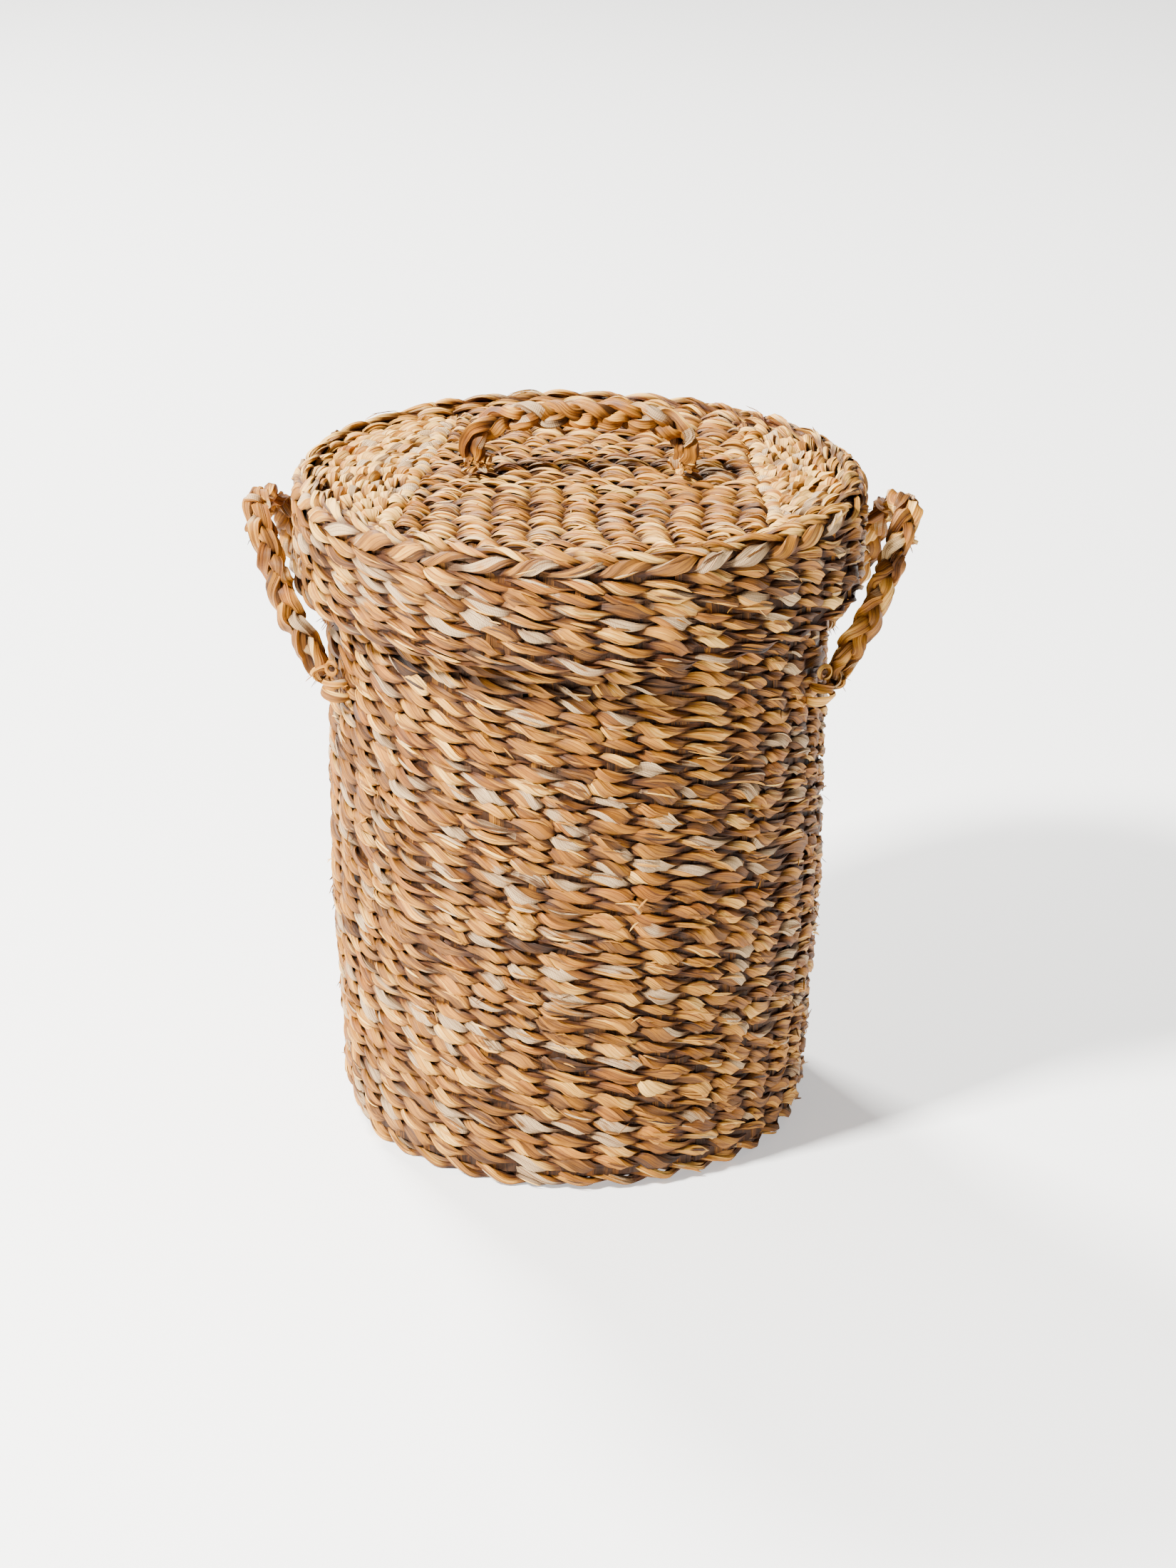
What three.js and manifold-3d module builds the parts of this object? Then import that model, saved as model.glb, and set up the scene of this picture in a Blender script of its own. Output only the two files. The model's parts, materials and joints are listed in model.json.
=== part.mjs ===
// Round hand-woven basket with a deep cap lid and three plaited loop handles.
// Millimetres, +Z up. The origin is the middle of the flat underside.
// X runs from the left side handle to the right one, and -Y is the front.

import * as THREE from 'three';
import { mergeVertices } from 'three/addons/utils/BufferGeometryUtils.js';
import Module from 'manifold-3d';

// Basket body
const BELLY_RADIUS = 195.5;
const BELLY_HEIGHT = 200;
const FOOT_INSET = 10;
const BODY_HEIGHT = 513;
const WALL_THICKNESS = 13;
const BASE_THICKNESS = 11;
const FOOT_BORDER_WIDTH = 18.3;
const FOOT_BORDER_HEIGHT = 18.6;
const FOOT_BORDER_STEP = 1.7;
const MOUTH_BORDER_WIDTH = 14.5;
const MOUTH_BORDER_HEIGHT = 13.7;
const BORDER_ROUNDING = 4.5;

// Stakes that stiffen the walls, the base and the lid
const STAKE_COUNT = 36;
const LID_STAKE_COUNT = 40;
const STAKE_SIZE = 4.4;
const HUB_RADIUS = 60;
const HUB_RING_WIDTH = 8;

// Relief of the weave: its rows bulge over the stakes and dip between them
const VALLEY_DEPTH = 3.2;
const VALLEY_WIDTH = 18;
const LID_BAND_LEFT = 120;
const LID_BAND_RIGHT = 141;
const LID_BAND_PITCH = 26;

// Cap lid: it fits over the belly with LID_PLAY all round
const LID_PLAY = 12.5;
const LID_THICKNESS = 13.7;
const LID_DEPTH = 91;
const RIM_BORDER_WIDTH = 15;
const RIM_BORDER_HEIGHT = 18.6;
const RIM_BORDER_PROUD = 3.2;
const SKIRT_BORDER_HEIGHT = 13.2;
const SKIRT_THICKNESS = 13;

// Plaits of three strands
const STRAND_RADIUS = 3.2;
const STRAND_GAP = 0.5;
const PLAIT_WIDE_RATIO = 0.97;
const PLAIT_THICK_RATIO = 0.84;
const PLAIT_PERIOD_RATIO = 10.1;
const GATHER_LENGTH = 12;
const EASE_LENGTH = 20;
const STRAND_SIDES = 5;
const STEPS_PER_PERIOD = 10;

// Side handles: their roots lie HANDLE_DROP below the edge of the lid
const HANDLE_DROP = 55.2;
const HANDLE_SPACING = 130;
const HANDLE_RISE = 119;
const HANDLE_REACH = 54.5;
const HANDLE_LEAN = THREE.MathUtils.degToRad(20);

// Lid handle: it stands LID_HANDLE_FORWARD in front of the middle
const LID_HANDLE_SPACING = 156;
const LID_HANDLE_RISE = 39;
const LID_HANDLE_FORWARD = 10;

// Lashings that tie the handles on
const LASHING_RADIUS = 8;
const LASHING_LENGTH = 26;
const LASHING_GROOVE = 0.8;
const LASHING_TURNS = 3;
const LASHING_SIDES = 10;
const SADDLE_LENGTH = 20;
const SADDLE_WIDTH = 6.5;
const SADDLE_INSET = 5;
const CUTTER_SIDES = 32;

// Clearances
const TOUCH = 0.3;
const STAKE_PLAY = 0.6;
const TURN_PLAY = 0.4;

const wasm = await Module();
wasm.setup();

const LEAF = {
  weave: { color: 0xc49a63, roughness: 0.8 },
  border: { color: 0xb98a50, roughness: 0.8 },
  stake: { color: 0xa9834f, roughness: 0.85 },
  strand: { color: 0xc09058, roughness: 0.75 },
  lashing: { color: 0xad7f48, roughness: 0.8 },
};

const part = new THREE.Group();

function addPiece(name, geometry, look) {
  const material = new THREE.MeshStandardMaterial({ ...look, metalness: 0 });
  const mesh = new THREE.Mesh(geometry, material);
  mesh.name = name;
  part.add(mesh);
}

function toSolid(geometry) {
  const bare = geometry.clone();
  bare.deleteAttribute('normal');
  bare.deleteAttribute('uv');
  const merged = mergeVertices(bare, 1e-4);
  const corners = Array.from(merged.index.array);
  const kept = [];
  for (let i = 0; i < corners.length; i += 3) {
    const [a, b, c] = corners.slice(i, i + 3);
    if (a !== b && b !== c && c !== a) {
      kept.push(a, b, c);
    }
  }
  return new wasm.Manifold(new wasm.Mesh({
    numProp: 3,
    vertProperties: new Float32Array(merged.attributes.position.array),
    triVerts: new Uint32Array(kept),
  }));
}

function toGeometry(solid) {
  const mesh = solid.getMesh();
  const geometry = new THREE.BufferGeometry();
  geometry.setAttribute('position', new THREE.BufferAttribute(mesh.vertProperties, 3));
  geometry.setIndex(new THREE.BufferAttribute(mesh.triVerts, 1));
  geometry.computeVertexNormals();
  return geometry;
}

// A solid of revolution about Z from [radius, height] points, listed anticlockwise.
function revolve(points, segments = STAKE_COUNT) {
  const profile = points.map(([r, z]) => new THREE.Vector2(r, z));
  const geometry = new THREE.LatheGeometry(profile, segments);
  geometry.rotateX(Math.PI / 2);
  return geometry;
}

// The room inside a woven face, from [radius, height] points listed upwards: the face is
// at its full radius on each stake and dips by VALLEY_DEPTH halfway to the next.
function insideFace(points, count) {
  const profile = [[0, points[0][1]], ...points, [0, points[points.length - 1][1]]];
  const geometry = revolve(profile, 2 * count);
  const place = geometry.attributes.position;
  for (let i = 0; i < place.count; i += 1) {
    const between = Math.floor(i / profile.length) % 2 === 1;
    const radius = profile[i % profile.length][0];
    if (between && radius > 0) {
      const share = 1 - VALLEY_DEPTH / radius;
      place.setXY(i, place.getX(i) * share, place.getY(i) * share);
    }
  }
  return toSolid(geometry);
}

function closed(points) {
  return [...points, points[0]];
}

// Body wall: it flares from the foot to the belly and rises straight above it.
function wallRadius(z) {
  return BELLY_RADIUS - FOOT_INSET * Math.max(0, 1 - z / BELLY_HEIGHT);
}

const MID_DEPTH = WALL_THICKNESS / 2;
const SLOT_HALF = STAKE_SIZE / 2 + STAKE_PLAY;

function wallMiddle(z) {
  return wallRadius(z) - MID_DEPTH;
}

// The section of a border: flat against its neighbours, round towards the outside.
function borderSection(innerRadius, outerRadius, low, high) {
  const c = BORDER_ROUNDING;
  return closed([
    [innerRadius, low],
    [outerRadius - c, low],
    [outerRadius, low + c],
    [outerRadius, high - c],
    [outerRadius - c, high],
    [innerRadius + c, high],
    [innerRadius, high - c],
  ]);
}

// Heights and radii that several pieces share
const lidRadius = BELLY_RADIUS + LID_PLAY + SKIRT_THICKNESS;
const wallBottom = FOOT_BORDER_HEIGHT + TOUCH;
const wallTop = BODY_HEIGHT - MOUTH_BORDER_HEIGHT - TOUCH;
const footOuter = wallRadius(wallBottom) - FOOT_BORDER_STEP;
const footInner = footOuter - FOOT_BORDER_WIDTH;
const baseRadius = footInner - TOUCH;
const baseMiddle = BASE_THICKNESS / 2;
const innerWallBottom = wallBottom + WALL_THICKNESS + BORDER_ROUNDING;
const stakeBend = innerWallBottom - STAKE_SIZE / 2;
const lipTop = wallBottom + BORDER_ROUNDING;
const turnRadius = baseRadius - 2 * BORDER_ROUNDING - STAKE_SIZE / 2;
const baseTopRadius = turnRadius - STAKE_SIZE;

const lidUnderside = BODY_HEIGHT + TOUCH;
const lidTop = lidUnderside + LID_THICKNESS;
const lidMiddle = lidUnderside + LID_THICKNESS / 2;
const rimTop = lidTop + RIM_BORDER_PROUD;
const rimBottom = rimTop - RIM_BORDER_HEIGHT;
const rimInner = lidRadius - RIM_BORDER_WIDTH;
const lidPlateRadius = rimInner - TOUCH;
const skirtBottom = rimTop - LID_DEPTH;
const skirtTop = rimBottom - TOUCH;
const skirtWeaveBottom = skirtBottom + SKIRT_BORDER_HEIGHT + TOUCH;
const skirtMiddle = lidRadius - SKIRT_THICKNESS / 2;
const innerSkirtTop = skirtTop - SKIRT_THICKNESS - BORDER_ROUNDING;
const lidStakeBend = innerSkirtTop + STAKE_SIZE / 2;
const skirtLipBottom = skirtTop - BORDER_ROUNDING;
const lidTurnRadius = lidPlateRadius - 2 * BORDER_ROUNDING - STAKE_SIZE / 2;
const lidUnderRadius = lidTurnRadius - STAKE_SIZE;

// Base mat: a round mat with a slot that opens at its edge and holds the stakes.
function makeBaseMat() {
  const hub = HUB_RADIUS - HUB_RING_WIDTH / 2 - 2 * STAKE_PLAY;
  return revolve([
    [0, 0],
    [baseRadius, 0],
    [baseRadius, baseMiddle - SLOT_HALF],
    [hub, baseMiddle - SLOT_HALF],
    [hub, baseMiddle + SLOT_HALF],
    [baseTopRadius, baseMiddle + SLOT_HALF],
    [baseTopRadius, BASE_THICKNESS],
    [0, BASE_THICKNESS],
  ]);
}

const wallStations = [innerWallBottom, BELLY_HEIGHT];

// Wall weave: two layers of strands that meet at the top, with the stakes between them.
// It is turned with room to spare outside, and its wavy face is then cut from that.
function makeWallWeave() {
  const slotTop = wallTop - STAKE_SIZE;
  const lip = footInner + FOOT_BORDER_WIDTH / 2;
  const spare = BELLY_RADIUS + WALL_THICKNESS;
  const inside = [...wallStations, wallTop].map((z) => [wallRadius(z) - WALL_THICKNESS, z]);
  const slotIn = [...wallStations, slotTop].map((z) => [wallMiddle(z) - SLOT_HALF, z]);
  const slotOut = [lipTop, BELLY_HEIGHT, slotTop].map((z) => [wallMiddle(z) + SLOT_HALF, z]);
  const shell = revolve(closed([
    [lip, wallBottom],
    [spare, wallBottom],
    [spare, wallTop],
    ...inside.reverse(),
    ...slotIn,
    ...slotOut.reverse(),
  ]));
  const face = [wallBottom, BELLY_HEIGHT, wallTop].map((z) => [wallRadius(z), z]);
  return toGeometry(toSolid(shell).intersect(insideFace(face, STAKE_COUNT)));
}

// The outline of a band that follows a path at an even half width, mitred at its corners.
function bandShape(path, half) {
  const points = path.map(([x, y]) => new THREE.Vector2(x, y));
  const left = [];
  const right = [];
  points.forEach((point, i) => {
    const before = points[Math.max(0, i - 1)];
    const after = points[Math.min(points.length - 1, i + 1)];
    const a = point.clone().sub(i > 0 ? before : after).normalize();
    const b = after.clone().sub(i < points.length - 1 ? point : before).normalize();
    const forwardIn = i > 0 ? a : a.negate();
    const mean = forwardIn.clone().add(b).normalize();
    const normal = new THREE.Vector2(-mean.y, mean.x);
    const reach = half / Math.max(0.5, mean.dot(b));
    left.push(point.clone().addScaledVector(normal, reach));
    right.push(point.clone().addScaledVector(normal, -reach));
  });
  return new THREE.Shape([...left, ...right.reverse()]);
}

// A cage of stakes: each is bent at the corner, and a ring joins their inner ends.
function makeStakes(path, ringMiddle, count) {
  const stake = new THREE.ExtrudeGeometry(bandShape(path, STAKE_SIZE / 2), {
    depth: STAKE_SIZE,
    bevelEnabled: false,
  });
  stake.translate(0, 0, -STAKE_SIZE / 2);
  stake.rotateX(Math.PI / 2);
  const half = HUB_RING_WIDTH / 2;
  const ringHalf = (STAKE_SIZE / 2 + SLOT_HALF) / 2;
  let cage = toSolid(revolve(closed([
    [HUB_RADIUS - half, ringMiddle - ringHalf],
    [HUB_RADIUS + half, ringMiddle - ringHalf],
    [HUB_RADIUS + half, ringMiddle + ringHalf],
    [HUB_RADIUS - half, ringMiddle + ringHalf],
  ]), count / 2));
  for (let i = 0; i < count; i += 1) {
    const turned = stake.clone();
    turned.rotateZ((i / count) * 2 * Math.PI - Math.PI / 2);
    cage = cage.add(toSolid(turned));
  }
  return toGeometry(cage);
}

function bodyStakePath() {
  const overBorder = wallBottom + STAKE_SIZE / 2;
  const stakeTop = wallTop - STAKE_SIZE - STAKE_PLAY;
  const upright = [stakeBend, ...wallStations.slice(1), stakeTop];
  return [
    [HUB_RADIUS, baseMiddle],
    [turnRadius, baseMiddle],
    [footInner + STAKE_PLAY, overBorder],
    ...upright.map((z) => [wallMiddle(z), z]),
  ];
}

function lidStakePath() {
  const underBorder = skirtTop - STAKE_SIZE / 2 - STAKE_PLAY;
  return [
    [HUB_RADIUS, lidMiddle],
    [lidTurnRadius, lidMiddle],
    [rimInner - STAKE_PLAY, underBorder],
    [skirtMiddle, lidStakeBend],
    [skirtMiddle, skirtWeaveBottom + STAKE_SIZE + STAKE_PLAY],
  ];
}

// A wedge that cuts a valley into the top of the lid, from one distance to another along X.
function valleyCutter(from, to) {
  const wedge = new THREE.Shape([
    new THREE.Vector2(0, lidTop - VALLEY_DEPTH),
    new THREE.Vector2(VALLEY_WIDTH, lidTop + VALLEY_DEPTH),
    new THREE.Vector2(-VALLEY_WIDTH, lidTop + VALLEY_DEPTH),
  ]);
  const cutter = new THREE.ExtrudeGeometry(wedge, { depth: to - from, bevelEnabled: false });
  cutter.rotateX(Math.PI / 2);
  cutter.rotateZ(Math.PI / 2);
  cutter.translate(from, 0, 0);
  return cutter;
}

// Lid plate: like the base mat, with the slot for the stakes open at its edge. Its top dips
// between the stakes, which run straight across a band and fan out in the lobes beside it.
function makeLidPlate() {
  const hub = HUB_RADIUS - HUB_RING_WIDTH / 2 - 2 * STAKE_PLAY;
  let plate = toSolid(revolve([
    [0, lidUnderside],
    [lidUnderRadius, lidUnderside],
    [lidUnderRadius, lidMiddle - SLOT_HALF],
    [hub, lidMiddle - SLOT_HALF],
    [hub, lidMiddle + SLOT_HALF],
    [lidPlateRadius, lidMiddle + SLOT_HALF],
    [lidPlateRadius, lidTop],
    [0, lidTop],
  ], LID_STAKE_COUNT));
  const first = Math.ceil((VALLEY_WIDTH / 2 - LID_BAND_LEFT) / LID_BAND_PITCH - 0.5);
  const last = Math.floor((LID_BAND_RIGHT - VALLEY_WIDTH / 2) / LID_BAND_PITCH - 0.5);
  for (let k = first; k <= last; k += 1) {
    const valley = valleyCutter(-lidRadius, lidRadius);
    valley.rotateZ(Math.PI / 2);
    valley.translate((k + 0.5) * LID_BAND_PITCH, 0, 0);
    plate = plate.subtract(toSolid(valley));
  }
  for (let i = 0; i < LID_STAKE_COUNT; i += 1) {
    const angle = ((i + 0.5) / LID_STAKE_COUNT) * 2 * Math.PI;
    const edge = Math.cos(angle) > 0 ? LID_BAND_RIGHT : LID_BAND_LEFT;
    const start = edge / Math.abs(Math.cos(angle));
    if (start < lidPlateRadius - VALLEY_WIDTH) {
      const valley = valleyCutter(start, lidRadius);
      valley.rotateZ(angle);
      plate = plate.subtract(toSolid(valley));
    }
  }
  return toGeometry(plate);
}

// Skirt weave: closed at the bottom, with its inner layer shorter at the corner.
// Its wavy face is cut like that of the wall.
function makeSkirtWeave() {
  const inner = lidRadius - SKIRT_THICKNESS;
  const slotBottom = skirtWeaveBottom + STAKE_SIZE;
  const lip = lidRadius - RIM_BORDER_WIDTH / 2;
  const spare = lidRadius + SKIRT_THICKNESS;
  const shell = revolve(closed([
    [inner, skirtWeaveBottom],
    [spare, skirtWeaveBottom],
    [spare, skirtTop],
    [lip, skirtTop],
    [skirtMiddle + SLOT_HALF, skirtLipBottom],
    [skirtMiddle + SLOT_HALF, slotBottom],
    [skirtMiddle - SLOT_HALF, slotBottom],
    [skirtMiddle - SLOT_HALF, innerSkirtTop],
    [inner, innerSkirtTop],
  ]), LID_STAKE_COUNT);
  const face = [skirtWeaveBottom, skirtTop].map((z) => [lidRadius, z]);
  return toGeometry(toSolid(shell).intersect(insideFace(face, LID_STAKE_COUNT)));
}

// The middles of neighbouring strands stay this far apart, and the plait follows from it.
const strandPitch = 2 * STRAND_RADIUS + STRAND_GAP;
const gatheredReach = strandPitch / Math.sqrt(3);
const wideReach = PLAIT_WIDE_RATIO * strandPitch;
const thickReach = PLAIT_THICK_RATIO * strandPitch;
const plaitPeriod = PLAIT_PERIOD_RATIO * strandPitch;

// One strand of a three-strand plait along a route. The strands swap places twice as fast
// through the thickness as across the width, and gather into a round bundle at each end.
class PlaitStrand extends THREE.Curve {
  constructor(route, index, lay) {
    super();
    this.route = route;
    this.index = index;
    this.lay = lay;
    this.length = route.getLength();
    const free = this.length - 2 * GATHER_LENGTH - EASE_LENGTH;
    this.swaps = Math.round((6 * free) / plaitPeriod);
    this.rate = (this.swaps * Math.PI) / 3 / free;
  }

  phase(s) {
    const span = this.length - 2 * GATHER_LENGTH;
    const eased = (x) => {
      const u = Math.min(Math.max(x / EASE_LENGTH, 0), 1);
      return EASE_LENGTH * (u ** 3 - u ** 4 / 2) + Math.max(0, x - EASE_LENGTH);
    };
    const x = Math.min(Math.max(s - GATHER_LENGTH, 0), span);
    const middle = span / 2;
    const whole = this.rate * (span - EASE_LENGTH);
    const turned = x < middle ? this.rate * eased(x) : whole - this.rate * eased(span - x);
    return Math.PI / 2 + turned;
  }

  getPoint(t, target = new THREE.Vector3()) {
    const s = t * this.length;
    const { normal, wideAcross, hand } = this.lay;
    const along = this.route.getTangentAt(t);
    const across = normal.clone().addScaledVector(along, -along.dot(normal)).normalize();
    const beside = new THREE.Vector3().crossVectors(along, across).multiplyScalar(hand);
    const fromEnd = Math.min(s, this.length - s);
    const open = THREE.MathUtils.smoothstep(fromEnd, 0, GATHER_LENGTH);
    const width = THREE.MathUtils.lerp(gatheredReach, wideReach, open);
    const depth = THREE.MathUtils.lerp(gatheredReach, thickReach, open);
    const angle = this.phase(s) + (this.index * 2 * Math.PI) / 3;
    const wide = width * Math.sin(angle);
    const thick = depth * Math.sin(2 * angle);
    this.route.getPointAt(t, target);
    target.addScaledVector(across, wideAcross ? wide : thick);
    target.addScaledVector(beside, wideAcross ? thick : wide);
    return target;
  }
}

function strandSolid(route, index, lay) {
  const curve = new PlaitStrand(route, index, lay);
  const corners = Array.from({ length: STRAND_SIDES }, (_, i) => {
    const angle = (i / STRAND_SIDES) * 2 * Math.PI;
    return new THREE.Vector2(STRAND_RADIUS * Math.cos(angle), STRAND_RADIUS * Math.sin(angle));
  });
  const steps = Math.round((STEPS_PER_PERIOD * curve.length) / plaitPeriod);
  return toSolid(new THREE.ExtrudeGeometry(new THREE.Shape(corners), {
    steps,
    extrudePath: curve,
    bevelEnabled: false,
  }));
}

// The room that the lashings take along a hinge line, with play for the plait to turn.
function hingeCutter(length) {
  const radius = (LASHING_RADIUS + TURN_PLAY) / Math.cos(Math.PI / CUTTER_SIDES);
  return new THREE.CylinderGeometry(radius, radius, length + 2 * LASHING_LENGTH, CUTTER_SIDES);
}

function addPlait(prefix, route, lay, cutter) {
  for (let index = 0; index < 3; index += 1) {
    const strand = strandSolid(route, index, lay).subtract(toSolid(cutter));
    addPiece(`${prefix}_strand_${index + 1}`, toGeometry(strand), LEAF.strand);
  }
}

// Side handles: the loop leans outwards and its rear leg runs just clear of the skirt.
// A point of its shape is given as shares of the reach, of half the spacing and of the rise.
// The hinge line is as near to the wall as the inner ends of the lashings allow.
const lashingEnd = (HANDLE_SPACING - LASHING_LENGTH) / 2;
const hingeX = Math.sqrt(BELLY_RADIUS ** 2 - lashingEnd ** 2) + TOUCH + LASHING_RADIUS;
const hingeHeight = skirtBottom - HANDLE_DROP;

function sideRoute(side) {
  const half = HANDLE_SPACING / 2;
  const shape = [
    [0, -1, 0],
    [0.2, -1.02, 0.2],
    [0.46, -0.97, 0.4],
    [0.68, -0.82, 0.66],
    [0.91, -0.54, 0.9],
    [1, -0.18, 1],
    [0.88, 0.24, 0.96],
    [0.68, 0.6, 0.8],
    [0.57, 0.8, 0.54],
    [0.42, 0.93, 0.36],
    [0.18, 0.99, 0.17],
    [0, 1, 0],
  ];
  return new THREE.CatmullRomCurve3(shape.map(([out, along, up]) => new THREE.Vector3(
    side * (hingeX + out * HANDLE_REACH),
    along * half,
    hingeHeight + up * HANDLE_RISE,
  )), false, 'centripetal');
}

function lidRoute() {
  const half = LID_HANDLE_SPACING / 2;
  const arch = [
    [1, 0],
    [1.05, 0.3],
    [0.99, 0.6],
    [0.82, 0.85],
    [0.54, 0.97],
    [0.18, 1],
  ];
  const y = -LID_HANDLE_FORWARD;
  const left = arch.map(([x, z]) => new THREE.Vector3(-x * half, y, z));
  const right = arch.map(([x, z]) => new THREE.Vector3(x * half, y, z)).reverse();
  const points = [...left, ...right];
  points.forEach((point) => {
    point.z = lidHinge + point.z * LID_HANDLE_RISE;
  });
  return new THREE.CatmullRomCurve3(points, false, 'centripetal');
}

const lidHinge = lidTop + TOUCH + LASHING_RADIUS;

// A lashing: turns of strand round the hinge line, on a saddle that meets the weave.
function lashingBarrel() {
  const turn = LASHING_LENGTH / LASHING_TURNS;
  const start = -LASHING_LENGTH / 2;
  const profile = [[0, start]];
  for (let half = 0; half <= 2 * LASHING_TURNS; half += 1) {
    const onCrest = half % 2 === 1;
    const radius = onCrest ? LASHING_RADIUS : LASHING_RADIUS - LASHING_GROOVE;
    profile.push([radius, start + (half * turn) / 2]);
  }
  profile.push([0, -start]);
  return revolve(profile, LASHING_SIDES);
}

function makeSideLashing(side, end) {
  const barrel = lashingBarrel();
  barrel.rotateX(Math.PI / 2);
  barrel.translate(side * hingeX, (end * HANDLE_SPACING) / 2, hingeHeight);
  const depth = 2 * WALL_THICKNESS;
  const saddle = new THREE.BoxGeometry(depth, SADDLE_LENGTH, SADDLE_WIDTH);
  const saddleHeight = hingeHeight - LASHING_RADIUS + SADDLE_INSET + SADDLE_WIDTH / 2;
  saddle.translate(side * (hingeX - depth / 2), (end * HANDLE_SPACING) / 2, saddleHeight);
  const wall = insideFace([0, BODY_HEIGHT].map((z) => [BELLY_RADIUS + TOUCH, z]), STAKE_COUNT);
  return toGeometry(toSolid(barrel).add(toSolid(saddle)).subtract(wall));
}

function makeLidLashing(side) {
  const barrel = lashingBarrel();
  barrel.rotateY(Math.PI / 2);
  barrel.translate((side * LID_HANDLE_SPACING) / 2, -LID_HANDLE_FORWARD, lidHinge);
  const saddle = new THREE.BoxGeometry(SADDLE_LENGTH, SADDLE_WIDTH, LASHING_RADIUS);
  const saddleHeight = lidHinge - LASHING_RADIUS / 2;
  saddle.translate((side * LID_HANDLE_SPACING) / 2, -LID_HANDLE_FORWARD, saddleHeight);
  return toGeometry(toSolid(barrel).add(toSolid(saddle)));
}

const footBorder = borderSection(footInner, footOuter, 0, FOOT_BORDER_HEIGHT);
const mouthOuter = wallRadius(wallTop);
const mouthInner = mouthOuter - MOUTH_BORDER_WIDTH;
const mouthBorder = borderSection(mouthInner, mouthOuter, wallTop + TOUCH, BODY_HEIGHT);
const rimBorder = borderSection(rimInner, lidRadius, rimBottom, rimTop);
const skirtInner = lidRadius - SKIRT_THICKNESS;
const skirtEdge = skirtBottom + SKIRT_BORDER_HEIGHT;
const skirtBorder = borderSection(skirtInner, lidRadius, skirtBottom, skirtEdge);

addPiece('base_mat', makeBaseMat(), LEAF.weave);
addPiece('foot_border', revolve(footBorder), LEAF.border);
addPiece('wall_stakes', makeStakes(bodyStakePath(), baseMiddle, STAKE_COUNT), LEAF.stake);
addPiece('wall_weave', makeWallWeave(), LEAF.weave);
addPiece('mouth_border', revolve(mouthBorder), LEAF.border);
addPiece('lid_top_weave', makeLidPlate(), LEAF.weave);
addPiece('lid_stakes', makeStakes(lidStakePath(), lidMiddle, LID_STAKE_COUNT), LEAF.stake);
addPiece('lid_rim_border', revolve(rimBorder, LID_STAKE_COUNT), LEAF.border);
addPiece('lid_skirt_weave', makeSkirtWeave(), LEAF.weave);
addPiece('lid_skirt_border', revolve(skirtBorder, LID_STAKE_COUNT), LEAF.border);

for (const [name, side] of [['left', -1], ['right', 1]]) {
  addPiece(`${name}_front_lashing`, makeSideLashing(side, -1), LEAF.lashing);
  addPiece(`${name}_rear_lashing`, makeSideLashing(side, 1), LEAF.lashing);
  addPiece(`lid_${name}_lashing`, makeLidLashing(side), LEAF.lashing);
  const outwards = new THREE.Vector3(side * Math.cos(HANDLE_LEAN), 0, -Math.sin(HANDLE_LEAN));
  const cutter = hingeCutter(HANDLE_SPACING);
  cutter.translate(side * hingeX, 0, hingeHeight);
  const lay = { normal: outwards, wideAcross: true, hand: side };
  addPlait(`${name}_handle`, sideRoute(side), lay, cutter);
}

const lidCutter = hingeCutter(LID_HANDLE_SPACING);
lidCutter.rotateZ(Math.PI / 2);
lidCutter.translate(0, -LID_HANDLE_FORWARD, lidHinge);
const lidLay = { normal: new THREE.Vector3(0, 1, 0), wideAcross: false, hand: 1 };
addPlait('lid_handle', lidRoute(), lidLay, lidCutter);

export default part;
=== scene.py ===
import json
import math

import bpy
import numpy as np
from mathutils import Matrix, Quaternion, Vector


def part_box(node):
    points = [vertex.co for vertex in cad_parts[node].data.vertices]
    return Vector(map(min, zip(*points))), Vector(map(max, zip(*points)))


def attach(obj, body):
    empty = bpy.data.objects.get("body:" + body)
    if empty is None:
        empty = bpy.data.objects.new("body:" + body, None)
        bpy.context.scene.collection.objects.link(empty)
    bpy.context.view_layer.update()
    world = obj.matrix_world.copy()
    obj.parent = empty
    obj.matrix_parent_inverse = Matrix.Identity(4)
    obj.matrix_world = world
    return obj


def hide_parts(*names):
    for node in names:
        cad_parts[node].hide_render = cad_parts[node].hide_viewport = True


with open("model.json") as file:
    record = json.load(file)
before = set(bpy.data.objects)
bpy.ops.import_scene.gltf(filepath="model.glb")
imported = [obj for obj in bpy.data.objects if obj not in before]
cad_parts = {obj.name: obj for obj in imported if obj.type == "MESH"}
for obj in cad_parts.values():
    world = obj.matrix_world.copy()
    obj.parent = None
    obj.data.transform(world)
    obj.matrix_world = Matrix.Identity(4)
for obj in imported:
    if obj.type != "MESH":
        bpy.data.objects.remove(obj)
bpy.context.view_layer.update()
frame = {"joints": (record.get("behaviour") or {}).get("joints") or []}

# Looks of a round hand-woven leaf basket with a cap lid. Metres, +Z up, -Y is the front.
# Every course is a pair of leaf strands twined round stakes. Borders are ropes and plaits.

rng = np.random.default_rng(20)
TURN = 2 * math.pi
UP = np.array([0.0, 0.0, 1.0])
MM = 0.001

# Camera, fitted to the photograph
IMAGE_HEIGHT = 2200
FOCAL_PIXELS = 5336
CENTRE_OFFSET_PIXELS = 15.0
CAMERA_PLACE = (0.0, -2.8, 1.39)
CAMERA_TILT = math.radians(21.85)
CAMERA_ROLL = math.radians(0.5)
SENSOR = 36.0


def box(node):
    """Lowest and highest corner of a CAD node, as arrays."""
    low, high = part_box(node)
    return np.array(low), np.array(high)


def radius_of(node):
    """Outer radius of a round CAD node."""
    low, high = box(node)
    return max(high[0], high[1], -low[0], -low[1])


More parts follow.
